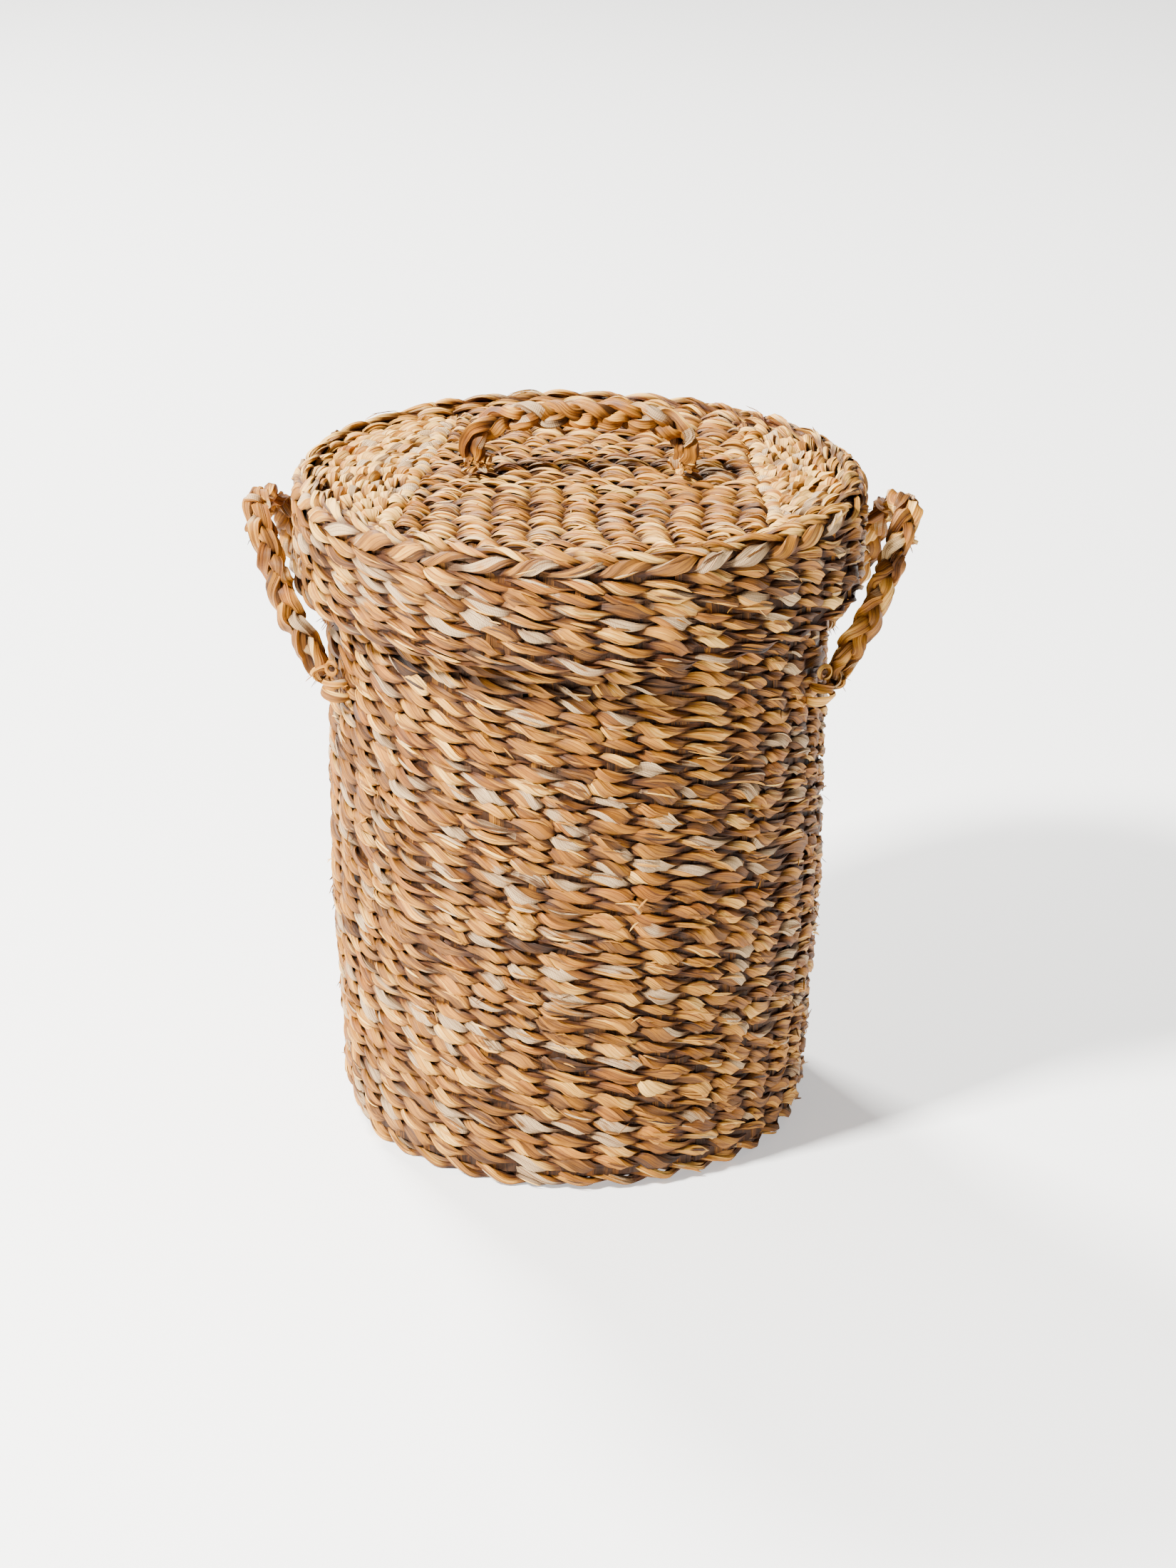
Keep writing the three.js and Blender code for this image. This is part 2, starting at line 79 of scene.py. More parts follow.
# Sizes of the body
STAKES = 36
BELLY_HEIGHT = 200 * MM
FOOT_INSET = 10 * MM
WALL_THICKNESS = 13 * MM
ROW_PITCH = 10.95 * MM
BANDS = 8
belly_radius = radius_of("wall_weave")
wall_bottom, wall_top = box("wall_weave")[0][2], box("wall_weave")[1][2]
wall_rows = round((wall_top - wall_bottom) / ROW_PITCH)

# Sizes of the lid
LID_STAKES = 40
SKIRT_THICKNESS = 13 * MM
SKIRT_ROW_PITCH = 9.75 * MM
BAND_STAKE_PITCH = 26 * MM
FLAT_ROW_PITCH = 11.3 * MM
LOBE_ROW_PITCH = 10.6 * MM
lid_radius = radius_of("lid_skirt_weave")
lid_plate_low, lid_plate_high = box("lid_top_weave")
skirt_low, skirt_high = box("lid_skirt_weave")


def unit(v):
    return v / np.linalg.norm(v, axis=-1, keepdims=True)


def smooth(x):
    x = np.clip(x, 0, 1)
    return x * x * (3 - 2 * x)


def eased(values, u):
    """Values given at whole numbers, read at u with soft steps between them. They repeat."""
    i = np.floor(u).astype(int)
    f = smooth(u - i)
    return values[i % len(values)] * (1 - f) + values[(i + 1) % len(values)] * f


def uneven(middle, spread, place):
    """Random values at whole numbers, read with soft steps at the given places."""
    return eased(rng.normal(middle, spread, math.ceil(place[-1]) + 2), place)


def stepped(values, u):
    """Like eased, but each value holds for most of the way to its neighbours."""
    i = np.floor(u).astype(int)
    f = smooth((u - i - 0.5) / 0.3 + 0.5)
    return values[i % len(values)] * (1 - f) + values[(i + 1) % len(values)] * f


def added(name, data):
    """A new object in the scene."""
    made = bpy.data.objects.new(name, data)
    bpy.context.scene.collection.objects.link(made)
    return made


def new_material(name):
    material = bpy.data.materials.new(name)
    material.use_nodes = True
    return material, material.node_tree.nodes["Principled BSDF"]


class Bundle:
    """Leaf tubes that become one mesh, with what the leaf material reads at each vertex."""

    def __init__(self):
        self.points, self.leaf, self.tone, self.pale = [], [], [], []
        self.fold, self.deep, self.ridge, self.facet = [], [], [], []
        self.quads, self.quad_cells, self.caps, self.cap_cells = [], [], [], []
        self.count, self.segments = 0, 0
        self.length, self.girth = 0.0, 0.0

    def tube(self, centre, wide, half_width, half_thick, closed, sides, twist, folds, tone, pale, deep=None):
        """A tube along centre whose section is a folded, turning ellipse. Its last argument says how far
        in the work its points lie, from 0 at the face to 1; the leaf material paints shade by it."""
        n = len(centre)
        if closed:
            tangent = unit(np.roll(centre, -1, 0) - np.roll(centre, 1, 0))
            step = np.linalg.norm(np.roll(centre, -1, 0) - centre, axis=1)
        else:
            tangent = unit(np.gradient(centre, axis=0))
            step = np.append(np.linalg.norm(np.diff(centre, axis=0), axis=1), 0)
        wide = unit(wide - tangent * np.sum(wide * tangent, 1, keepdims=True))
        face = np.cross(tangent, wide)
        spread = np.ones(n)
        half_width, half_thick = spread * half_width, spread * half_thick
        twist, folds = spread * twist, spread * folds
        angle = TURN * np.arange(sides)[None] / sides + twist[:, None]
        drawn, notch, ridge, facet, under = folded_section(sides)
        reach = 1 - drawn[None] - folds[:, None] * notch[None]
        x = half_width[:, None] * np.cos(angle) * reach
        y = half_thick[:, None] * np.sin(angle) * reach
        points = centre[:, None] + wide[:, None] * x[..., None] + face[:, None] * y[..., None]
        length = step.sum()
        girth = math.pi * float(np.mean(half_width + half_thick))
        along = np.append(0, np.cumsum(step))[:n]
        if closed:
            along = length / 2 - np.abs(along - length / 2)
        around = np.abs(2 * np.arange(sides) / sides - 1) * girth / 2
        leaf = np.empty((n, sides, 3))
        leaf[..., 0] = along[:, None]
        leaf[..., 1] = around[None]
        leaf[..., 2] = rng.uniform(0, 50)
        self.points.append(points.reshape(-1, 3))
        # How far in each point lies, which the leaf material darkens as painted shade
        self.deep.append(deep(points).ravel() if deep else np.zeros(n * sides))
        self.leaf.append(leaf.reshape(-1, 3))
        self.tone.append(np.repeat(spread * tone, sides))
        # Creases of the section, which the leaf material darkens as painted shade
        self.fold.append((np.minimum(folds * 6, 1)[:, None] * notch[None]).ravel())
        self.ridge.append(np.tile(ridge, n))
        index = self.count + np.arange(n * sides).reshape(n, sides)
        rows = np.arange(n if closed else n - 1)
        beside = np.roll(index, -1, 1)
        ahead = (rows + 1) % n
        self.facet.append(np.tile(facet, len(rows)))
        self.pale.append(((spread * pale)[rows, None] * under[None]).ravel())
        quad = np.stack([index[rows], beside[rows], beside[ahead], index[ahead]], -1)
        self.quads.append(quad.reshape(-1, 4))
        cell = np.empty((len(rows), sides, 2))
        cell[..., 0] = self.segments + rows[:, None]
        cell[..., 1] = np.arange(sides)[None] / sides
        share = np.full((cell.size // 2, 1), 1 / sides)
        self.quad_cells.append(np.concatenate([cell.reshape(-1, 2), share], 1))
        if not closed:
            self.caps += [index[0][::-1], index[-1]]
            self.cap_cells += [self.segments, self.segments + len(rows) - 1]
        self.count += n * sides
        self.segments += len(rows)
        self.girth += girth * length
        self.length += length

    def uv(self):
        """The tubes end to end, cut into strips that fill the square."""
        strips = max(1, round(math.sqrt(self.length ** 2 / self.girth)))
        per_strip = math.ceil(self.segments / strips)
        cells = np.concatenate(self.quad_cells)
        strip, local = np.divmod(cells[:, 0], per_strip)

        def corner(ahead, beside):
            across = 0.05 + 0.9 * (cells[:, 1] + beside * cells[:, 2])
            return np.stack([(local + ahead) / per_strip, (strip + across) / strips], -1)

        quads = np.stack([corner(0, 0), corner(0, 1), corner(1, 1), corner(1, 0)], 1).reshape(-1, 2)
        caps = []
        for loop, segment in zip(self.caps, self.cap_cells):
            strip, local = divmod(segment, per_strip)
            caps.append(np.tile([(local + 0.5) / per_strip, (strip + 0.5) / strips], (len(loop), 1)))
        return np.concatenate([quads] + caps) if caps else quads

    def piece(self, name, material, body, slot, nodes):
        """Makes the mesh object, hangs it on the body it rides on, and hides the CAD nodes it stands for."""
        mesh = bpy.data.meshes.new(name)
        quads = np.concatenate(self.quads)
        loops = np.concatenate([quads.ravel()] + self.caps).astype(np.int32)
        sizes = np.array([4] * len(quads) + [len(c) for c in self.caps], np.int64)
        starts = np.concatenate([[0], np.cumsum(sizes)[:-1]]).astype(np.int32)
        points = np.concatenate(self.points)
        points[:, 2] = np.maximum(points[:, 2], 0.0)
        mesh.vertices.add(self.count)
        mesh.vertices.foreach_set("co", points.astype(np.float32).ravel())
        mesh.loops.add(len(loops))
        mesh.loops.foreach_set("vertex_index", loops)
        mesh.polygons.add(len(sizes))
        mesh.polygons.foreach_set("loop_start", starts)
        mesh.polygons.foreach_set("use_smooth", np.ones(len(sizes), bool))
        mesh.update(calc_edges=True)
        layer = mesh.uv_layers.new(name="OFBake")
        layer.uv.foreach_set("vector", self.uv().astype(np.float32).ravel())
        leaf = mesh.attributes.new("leaf", "FLOAT_VECTOR", "POINT")
        leaf.data.foreach_set("vector", np.concatenate(self.leaf).astype(np.float32).ravel())
        for key in ("tone", "fold", "deep"):
            layer = mesh.attributes.new(key, "FLOAT", "POINT")
            layer.data.foreach_set("value", np.concatenate(getattr(self, key)).astype(np.float32))
        for key in ("pale", "facet"):
            layer = mesh.attributes.new(key, "FLOAT", "FACE")
            values = np.concatenate(getattr(self, key) + [np.zeros(len(self.caps))])
            layer.data.foreach_set("value", values.astype(np.float32))
        ends = np.empty(2 * len(mesh.edges), np.int32)
        mesh.edges.foreach_get("vertices", ends)
        sharp = np.concatenate(self.ridge)[ends.reshape(-1, 2)].all(1)
        mesh.attributes.new("sharp_edge", "BOOLEAN", "EDGE").data.foreach_set("value", sharp)
        mesh.validate()
        mesh.materials.append(material)
        piece = added(name, mesh)
        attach(piece, body)
        if nodes:
            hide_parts(*nodes)


def folded_section(sides):
    """A folded leaf's section, point by point: how far it is drawn in to the flats between its
    corners, its creases, its corners, and the tone and pale side of the flat that follows."""
    count = 3 if sides < 8 else 4 + rng.integers(2)
    places = (np.arange(count) + rng.uniform(-0.26, 0.26, count)) * sides / count
    corners = np.round(places).astype(int)
    drawn, notch, facet, under = np.zeros((4, sides))
    pale_flats = rng.integers(count) + np.arange(count // 2)
    for k in range(count):
        here = corners[k]
        gap = (corners[(k + 1) % count] - here) % sides
        inside = np.arange(gap)
        j = (here + inside) % sides
        half = math.pi * gap / sides
        drawn[j] = 0.9 * (1 - math.cos(half) / np.cos(TURN * inside / sides - half))
        facet[j] = rng.uniform()
        under[j] = k in pale_flats % count
        if gap > 2 and rng.uniform() < 0.5:
            notch[(here + gap // 2) % sides] = rng.uniform(0.5, 1.0)
    ridge = np.zeros(sides, bool)
    ridge[corners % sides] = True
    return drawn, notch, ridge, facet, under


# Sizes of a twined pair, mm: how far its strands pass before and behind the stakes, how far they
# sway up and down, and half their width and thickness on the stake and where they cross. Then
# the sides and steps of its tubes, and how many slivers, blades and turns it has in a round.
WEAVE = {
    "reach": 3.7, "sway": 3.1, "width": (6.2, 2.6), "thick": (3.4, 3.2), "folds": 0.20,
    "sides": 12, "steps": 10, "slivers": 14, "blades": 1, "turns": (12, 25),
}
FLAT = {
    "reach": 5.3, "sway": 3.3, "width": (4.9, 3.0), "thick": (2.7, 2.6), "folds": 0.30,
    "sides": 8, "steps": 10, "slivers": 26, "blades": 3, "turns": (-5, 13),
}
LOBE = {
    "reach": 4.2, "sway": 3.0, "width": (5.9, 3.8), "thick": (4.1, 3.6), "folds": 0.22,
    "sides": 12, "steps": 8, "slivers": 10, "blades": 1, "turns": (-8, 13),
}
ROPE = {
    "reach": 4.1, "sway": 4.1, "width": (5.7, 4.7), "thick": (4.3, 4.5), "folds": 0.22,
    "sides": 10, "steps": 9, "slivers": 14, "blades": 2, "turns": (6, 16),
}
SKIRT = {**WEAVE, "reach": 3.8, "sway": 2.9, "width": (5.7, 2.6), "slivers": 18, "turns": (10, 22)}
RIM = {**WEAVE, "sway": 3.6, "width": (6.2, 3.1), "thick": (3.2, 3.5)}
UPPER_RIM = {**WEAVE, "reach": 3.6, "sway": 3.0, "width": (6.4, 3.8), "thick": (3.4, 3.6), "blades": 2}
BASE = {**FLAT, "reach": 2.6, "width": (6.8, 4.8), "thick": (2.2, 2.4), "slivers": 0, "blades": 1}

# Tone of a strand, how dark its dark stretches are and their share, and ranges of pale and folds
STRAND_TONE, DARKENING, DARK_SHARE = 0.53, 0.18, 0.04
PALE_RANGE, FOLD_RANGE = (0.1, 1.15), (0.5, 1.6)
# How much strands differ along their way, in mm, radians or shares
SPREAD = {
    "width": 0.19, "thick": 0.12, "reach": 0.4, "sway": 0.6, "rise": 0.7, "lay": 0.5, "twist": 0.6,
    "strand_tone": 0.045, "tone": 0.08, "blade_tone": 0.06,
}
# Blades of a strand by their number: size and distance from its middle, as shares of the strand
BLADE_PLACES = {1: (1, 0), 2: (0.62, 0.52), 3: (0.49, 0.57)}


# Slivers of leaf, mm: half thickness and half widths, how long in stakes, and how far some stand up
SLIVER_HALF_THICK, SLIVER_HALF_WIDTHS, SLIVER_LENGTHS = 0.45, (0.6, 1.5), (0.26, 0.44)
LIFTED_SHARE, LIFT_OUT, LIFT_UP = 0.12, (2, 5), (-5, 3)


def shade_depth_in(path, out, form):
    """How far a strand's points lie inside a course, seen from either of its faces, for the painted shade in
    the weave.
    """
    face = (form["reach"] + 0.55 * form["thick"][0]) * MM
    core = 0.38 * form["reach"] * MM

    def deep(points):
        height = np.abs(np.einsum("nij,nj->ni", points - path[:, None], out))
        return smooth((face - height) / (face - core))
    return deep


def sliver(bundle, path, side, half_width, tone, pale=0.0, half_thick=SLIVER_HALF_THICK):
    """A thin blade of leaf along a path, pointed at both ends."""
    t = np.linspace(0, 1, len(path))
    taper = np.sqrt(np.maximum(4 * t * (1 - t), 0.02)) * MM
    twist = rng.uniform(-0.5, 0.5)
    bundle.tube(path, side, half_width * taper, half_thick * taper, False, 6, twist, 0.1, tone, pale)


def stray_sliver(bundle, centre, half_width, half_thick, out, up, u, strand, first, count, scale):
    """One try at a sliver on the outer face of a strand, over one of its stakes."""
    stake_at = 2 * rng.integers(first // 2, (first + count) // 2 + 1) - strand
    keep = np.abs(u - stake_at - rng.normal(0, 0.08)) < rng.uniform(*SLIVER_LENGTHS)
    if keep.sum() < 4:
        return
    aside = rng.uniform(-0.8, 0.8)
    above = (half_thick * math.sqrt(1 - aside ** 2) * 0.98)[:, None]
    blade = (centre + (out * above + up * (half_width * aside)[:, None]) * scale * MM)[keep]
    if rng.uniform(0, 1) < LIFTED_SHARE:
        t = np.linspace(0, 1, keep.sum())[:, None]
        blade = blade + (out * rng.uniform(*LIFT_OUT) + up * rng.uniform(*LIFT_UP))[keep] * t ** 3 * MM
    width, tone = rng.uniform(*SLIVER_HALF_WIDTHS), np.clip(rng.normal(0.5, 0.25), 0, 1)
    pale = rng.uniform(0, 1.2) * (rng.uniform() < 0.4)
    sliver(bundle, blade, up if up.ndim == 1 else up[keep], width, tone, pale)


def twine(bundle, path, out, up, u, form, closed, hand=1, scale=1.0, pale_share=0.5, lighten=0.0):
    """Two strands that twine along a path. Each stake stands at a whole number of u."""
    first = 0 if closed else math.floor(u.min())
    count = math.ceil(u.max() - first) if closed else math.ceil(u.max() - first) + 2
    out = np.broadcast_to(out, path.shape)
    (front_width, tuck_width), (front_thick, tuck_thick) = form["width"], form["thick"]
    ends = np.full(len(u), 1.0) if closed else smooth(np.minimum(u - u.min(), u.max() - u) / 0.4)
    place = u - first
    taper = 0.3 + 0.7 * ends
    lap = (u - u.min()) / (count if closed else LID_STAKES)
    blades = form["blades"]
    share, aside = BLADE_PLACES[blades]

    def vary(key, middle=0.0, hold=eased):
        return hold(rng.normal(middle, SPREAD[key], count), place)

    for strand in range(2):
        psi = math.pi * (u + strand)
        over = np.cos(psi)
        front = (over ** 2 + 0.004) ** 0.56
        half_width = tuck_width + (front_width - tuck_width) * front
        half_width = half_width * np.maximum(vary("width", 1), 0.5) * taper
        half_thick = (tuck_thick + (front_thick - tuck_thick) * front) * vary("thick", 1) * taper
        radial = (form["reach"] + vary("reach")) * np.sign(over) * np.abs(over) ** 0.75 * ends
        radial = radial - (1 - ends)
        rise = -hand * (form["sway"] + vary("sway")) * np.sin(psi) + vary("rise")
        centre = path + (out * radial[:, None] + up * rise[:, None]) * scale * MM
        shade = STRAND_TONE + SPREAD["strand_tone"] * rng.normal() + vary("tone", 0, stepped) + lighten
        shade = shade - DARKENING * stepped((rng.uniform(0, 1, count) < DARK_SHARE) * 1.0, place)
        laid = TURN * (rng.uniform() + rng.integers(5, 10) * lap) + vary("lay")
        for blade in range(blades):
            across = aside * np.cos(laid + TURN * blade / blades) * half_width
            above = aside * np.sin(laid + TURN * blade / blades) * half_thick
            middle = centre + (out * above[:, None] + up * across[:, None]) * scale * MM
            twist = TURN * (rng.uniform() + hand * rng.integers(*form["turns"]) * lap) + vary("twist")
            pale = (rng.uniform() < pale_share) * stepped(rng.uniform(*PALE_RANGE, count), place)
            folds = form["folds"] * eased(rng.uniform(*FOLD_RANGE, count), place)
            tone = np.clip(shade + SPREAD["blade_tone"] * rng.normal(), 0, 1)
            bundle.tube(
                middle, up, half_width * share * scale * MM,
                half_thick * (share + 0.1 * aside) * scale * MM, closed, form["sides"], twist,
                folds, tone, pale, shade_depth_in(path, out, form),
            )
        for _ in range(round(form["slivers"] * (1 if closed else np.ptp(u) / LID_STAKES))):
            stray_sliver(bundle, centre, half_width, half_thick, out, up, u, strand, first, count, scale)


# Leaf material

def node(tree, kind, inputs=None, **properties):
    """A shader node with its properties and the values of its unlinked inputs."""
    made = tree.nodes.new(kind)
    for key, value in properties.items():
        setattr(made, key, value)
    for key, value in (inputs or {}).items():
        made.inputs[key].default_value = value
    return made


def link(tree, source, target):
    tree.links.new(source, target)


def maths(tree, operation, a, b=None, clamp=False):
    """A Math node on sockets or numbers."""
    made = node(tree, "ShaderNodeMath", operation=operation, use_clamp=clamp)
    for socket, value in zip(made.inputs, (a, b)):
        if isinstance(value, (int, float)):
            socket.default_value = value
        elif value is not None:
            link(tree, value, socket)
    return made.outputs[0]


def mix_colour(tree, factor, a, b, blend="MIX"):
    """A Mix node on colours, where each input is a socket or a value."""
    made = node(tree, "ShaderNodeMix", data_type="RGBA", blend_type=blend)
    for index, value in ((0, factor), (6, a), (7, b)):
        if isinstance(value, bpy.types.NodeSocket):
            link(tree, value, made.inputs[index])
        else:
            made.inputs[index].default_value = value
    return made.outputs[2]


def ramp(tree, factor, stops):
    """A colour ramp with [position, (r, g, b)] stops."""
    made = node(tree, "ShaderNodeValToRGB")
    elements = made.color_ramp.elements
    while len(elements) < len(stops):
        elements.new(0.5)
    for element, (position, colour) in zip(elements, stops):
        element.position = position
        element.color = (*colour, 1)
    link(tree, factor, made.inputs[0])
    return made.outputs[0]


def noise(tree, vector, scale, detail, roughness):
    inputs = {"Scale": scale, "Detail": detail, "Roughness": roughness}
    made = node(tree, "ShaderNodeTexNoise", inputs)
    link(tree, vector, made.inputs["Vector"])
    return made.outputs["Fac"]


def stretched(tree, leaf, along, round_it):
    """The leaf's own coordinates, scaled along a strand, round it and from strand to strand."""
    made = node(tree, "ShaderNodeVectorMath", {1: (along, round_it, 7.0)}, operation="MULTIPLY")
    link(tree, leaf, made.inputs[0])
    return made.outputs[0]


LEAF_TONES = [
    (0.00, (0.036, 0.013, 0.003)),
    (0.20, (0.098, 0.036, 0.005)),
    (0.40, (0.205, 0.076, 0.008)),
    (0.58, (0.325, 0.124, 0.010)),
    (0.78, (0.510, 0.220, 0.022)),
    (1.00, (0.780, 0.455, 0.110)),
]
PALE_LEAF = (0.740, 0.520, 0.285, 1)
PALE_SHADE = (0.250, 0.135, 0.050, 1)
# Painted shade in creases, in grooves and at the edges of blades
CREASE_SHADE_TINT = (0.34, 0.22, 0.14, 1)
# Painted shade where strands lie far in the weave, behind others
DEEP_SHADE_TINT = (0.12, 0.06, 0.03, 1)
RUDDY_TINT = (1.0, 0.87, 0.74, 1)
BLADES_PER_METRE = 390.0
NET_ALONG, NET_ROUND = 880.0, 1150.0
# Patterns in the grain: cycles per metre along and round a strand, detail and roughness
GRAIN = {
    "sway": (22, 40, 1.0, 0.4),
    "fibre": (60, 1500, 4.0, 0.6),
    "streak": (22, 420, 2.0, 0.5),
    "line": (14, 620, 1.0, 0.4),
    "redness": (9, 60, 1.0, 0.4),
}
# Patches on the whole basket: cycles per metre, detail and roughness
PATCHES = {"patch": (45.0, 2.0, 0.55), "wide_patch": (6.0, 1.0, 0.55)}
# How much each pattern changes the tone, the edge of the pale side and the relief
TONE_SHARES = {
    "fibre": 0.55, "streak": 0.55, "blade": 0.22, "facet": 0.50, "patch": 0.20, "wide_patch": 0.08,
}
PALE_EDGE = {"patch": 1.0, "streak": 0.8}
RELIEF = {"fibre": 0.7, "streak": 0.7, "within": 0.9, "net": 0.5}
BUMP = {"Strength": 0.8, "Distance": 0.0008}


def leaf_material(name, shift, pale_share, roughness):
    """Dried leaf: golden skin with fine fibres, a pale netted underside, and painted shade in its creases,
    between its blades and far in the weave.
    """
    material, shader = new_material(name)
    tree = material.node_tree

    def read(key, output="Fac"):
        return node(tree, "ShaderNodeAttribute", attribute_name=key).outputs[output]

    def add(a, b, **options):
        return maths(tree, "ADD", a, b, **options)

    def less(a, b):
        return maths(tree, "SUBTRACT", a, b)

    def times(a, b, **options):
        return maths(tree, "MULTIPLY", a, b, **options)

    def centred(value, amount):
        return times(less(value, 0.5), amount)

    def above(value, start, gain):
        return times(less(value, start), gain, clamp=True)

    def below(value, start, gain):
        return times(less(start, value), gain, clamp=True)

    leaf = read("leaf", "Vector")
    place = node(tree, "ShaderNodeTexCoord").outputs["Object"]
    split = node(tree, "ShaderNodeSeparateXYZ")
    link(tree, leaf, split.inputs[0])
    part = {}
    for key, (along, round_it, detail, rough) in GRAIN.items():
        part[key] = noise(tree, stretched(tree, leaf, along, round_it), 1.0, detail, rough)
    for key, values in PATCHES.items():
        part[key] = noise(tree, place, *values)
    blade = add(times(split.outputs["Y"], BLADES_PER_METRE), times(part["sway"], 3.0))
    within = maths(tree, "FRACT", blade)
    white = node(tree, "ShaderNodeTexWhiteNoise", noise_dimensions="2D")
    which = node(tree, "ShaderNodeCombineXYZ")
    link(tree, maths(tree, "FLOOR", blade), which.inputs[0])
    link(tree, split.outputs["Z"], which.inputs[1])
    link(tree, which.outputs[0], white.inputs["Vector"])
    part["blade"] = white.outputs["Value"]
    part["facet"] = read("facet")
    # Painted shading across each blade: a little lighter toward one edge
    value = add(read("tone"), times(within, 0.08))
    for key, amount in TONE_SHARES.items():
        value = add(value, centred(part[key], amount))
    skin = ramp(tree, add(value, shift, clamp=True), LEAF_TONES)
    skin = mix_colour(tree, above(part["redness"], 0.52, 5.0), skin, RUDDY_TINT, "MULTIPLY")

    def bars(value, per_metre):
        place_in = maths(tree, "FRACT", add(times(value, per_metre), times(part["sway"], 2.5)))
        return maths(tree, "ABSOLUTE", less(place_in, 0.5))

    net = maths(tree, "MINIMUM", bars(split.outputs["X"], NET_ALONG), bars(split.outputs["Y"], NET_ROUND))
    net = times(net, 4.5, clamp=True)
    netted = mix_colour(tree, net, PALE_SHADE, PALE_LEAF)
    edge = read("pale")
    for key, amount in PALE_EDGE.items():
        edge = add(edge, centred(part[key], amount))
    mask = times(above(edge, 0.5, 5.0), 0.9 * pale_share)
    colour = mix_colour(tree, mask, skin, netted)
    # Painted shade: dark along grooved lines, in creases and at one edge of each blade
    crack = below(part["line"], 0.40, 9.0)
    crease_shade = add(times(crack, 0.6), times(read("fold"), 0.45))
    crease_shade = add(crease_shade, times(below(within, 0.22, 5.0), 0.62), clamp=True)
    colour = mix_colour(tree, crease_shade, colour, CREASE_SHADE_TINT, "MULTIPLY")
    # Painted shade where strands lie far in the weave, behind others
    colour = mix_colour(tree, times(read("deep"), 0.92), colour, DEEP_SHADE_TINT, "MULTIPLY")
    link(tree, colour, shader.inputs["Base Color"])

    part["within"] = within
    part["net"] = times(net, mask)
    height = times(crack, -0.8)
    for key, amount in RELIEF.items():
        height = add(height, times(part[key], amount))
    bump = node(tree, "ShaderNodeBump", BUMP)
    link(tree, height, bump.inputs["Height"])
    link(tree, bump.outputs["Normal"], shader.inputs["Normal"])
    gloss = add(times(part["streak"], 0.3), roughness - 0.15, clamp=True)
    link(tree, gloss, shader.inputs["Roughness"])
    shader.inputs["Specular IOR Level"].default_value = 0.25
    return material


# Leaf by its use: how much lighter it is, its share of pale side, and its roughness
LEAF_LOOKS = {
    "weave": (0.0, 1.0, 0.58),
    "border": (-0.01, 1.0, 0.58),
    "stake": (-0.18, 0.4, 0.7),
    "strand": (0.03, 0.8, 0.58),
    "rim": (0.06, 0.9, 0.58),
    "lashing": (0.0, 0.9, 0.58),
    "fray": (-0.10, 0.2, 0.7),
    "lid": (0.10, 0.7, 0.55),
    "lobe": (0.36, 1.0, 0.6),
}
LEAF = {use: leaf_material(f"leaf_{use}", *look) for use, look in LEAF_LOOKS.items()}


# Body: the wall flares from the foot to the belly and rises straight above it

def wall_radius(z):
    return belly_radius - FOOT_INSET * np.maximum(0, 1 - z / BELLY_HEIGHT)


# Lean of the stakes round the basket, as shares of a pitch, and the heights over which it sways
SLOW_LEAN, SLOW_HEIGHT = 0.15, 420 * MM
QUICK_LEAN, QUICK_HEIGHT = 0.06, 170 * MM
# Waves of the rows: how many go round and how high they rise, mm, and where they fade out
ROW_WAVES = ((2, 0.9), (3, 0.8), (5, 0.6), (7, 0.4))
WAVE_FADE = 50 * MM
# How far stakes stray in a single row, as shares of a pitch
STRAY = {"wall": 0.16, "skirt": 0.14, "rim": 0.05, "upper_rim": 0.06, "lobe": 0.12}
drift_phase = rng.uniform(0, TURN, (3, STAKES))
row_phase = rng.uniform(0, TURN, len(ROW_WAVES))


def stake_drift(z):
    """How far each stake leans round the basket at a height, as shares of a pitch."""
    slow = SLOW_LEAN * np.sin(TURN * z / SLOW_HEIGHT + drift_phase[0])
    quick = QUICK_LEAN * np.sin(TURN * z / QUICK_HEIGHT + drift_phase[1])
    return slow + quick + 0.13 * np.sin(drift_phase[2])


def row_wave(theta, z):
    """Rows rise and dip together by a little."""
    fade = smooth((z - wall_bottom) / WAVE_FADE) * smooth((wall_top - z) / WAVE_FADE)
    lift = 0
    for i, (count, size) in enumerate(ROW_WAVES):
        lift = lift + size * np.sin(count * theta + row_phase[i] + 9 * z * (i - 2))
    return fade * lift * MM


def around(theta):
    """Unit vectors away from the Z axis."""
    return np.stack([np.cos(theta), np.sin(theta), 0 * theta], -1)


def ring_course(bundle, radius, z, form, stakes, face=0.0, drift=None, wave=None, span=None,
                bleach=0.0, **options):
    """A course round the Z axis. face is its lean, from 0 outwards to 90 degrees upwards, span
    keeps a part of the ring, as two numbers of stakes, and bleach makes the sides paler."""
    first, last = span or (0, stakes)
    u = np.arange(math.floor((last - first) * form["steps"])) / form["steps"] + first
    theta = TURN / stakes * (u + (0 if drift is None else eased(drift, u)))
    heights = z + (0 if wave is None else wave(theta, z)) + 0 * theta
    radii = radius(heights) if callable(radius) else radius + 0 * theta
    path = around(theta) * radii[:, None] + UP * heights[:, None]
    lean = math.radians(face)
    out = around(theta) * math.cos(lean) + UP * math.sin(lean)
    up = UP * math.cos(lean) - around(theta) * math.sin(lean)
    lighten = bleach * np.abs(np.cos(theta)) ** 2
    twine(bundle, path, out, up, u, form, span is None, lighten=lighten, **options)


def wall_middle(z):
    return wall_radius(z) - WALL_THICKNESS / 2


def make_wall():
    pitch = (wall_top - wall_bottom) / wall_rows
    for band, rows in enumerate(np.array_split(np.arange(wall_rows), BANDS)):
        bundle = Bundle()
        for row in rows:
            z = wall_bottom + (row + 0.5) * pitch
            drift = stake_drift(z) + rng.normal(0, STRAY["wall"], STAKES)
            ring_course(bundle, wall_middle, z, WEAVE, STAKES, drift=drift, wave=row_wave)
        bundle.piece(f"wall_rows_{band + 1}", LEAF["weave"], "basket", "weave", ["wall_weave"])


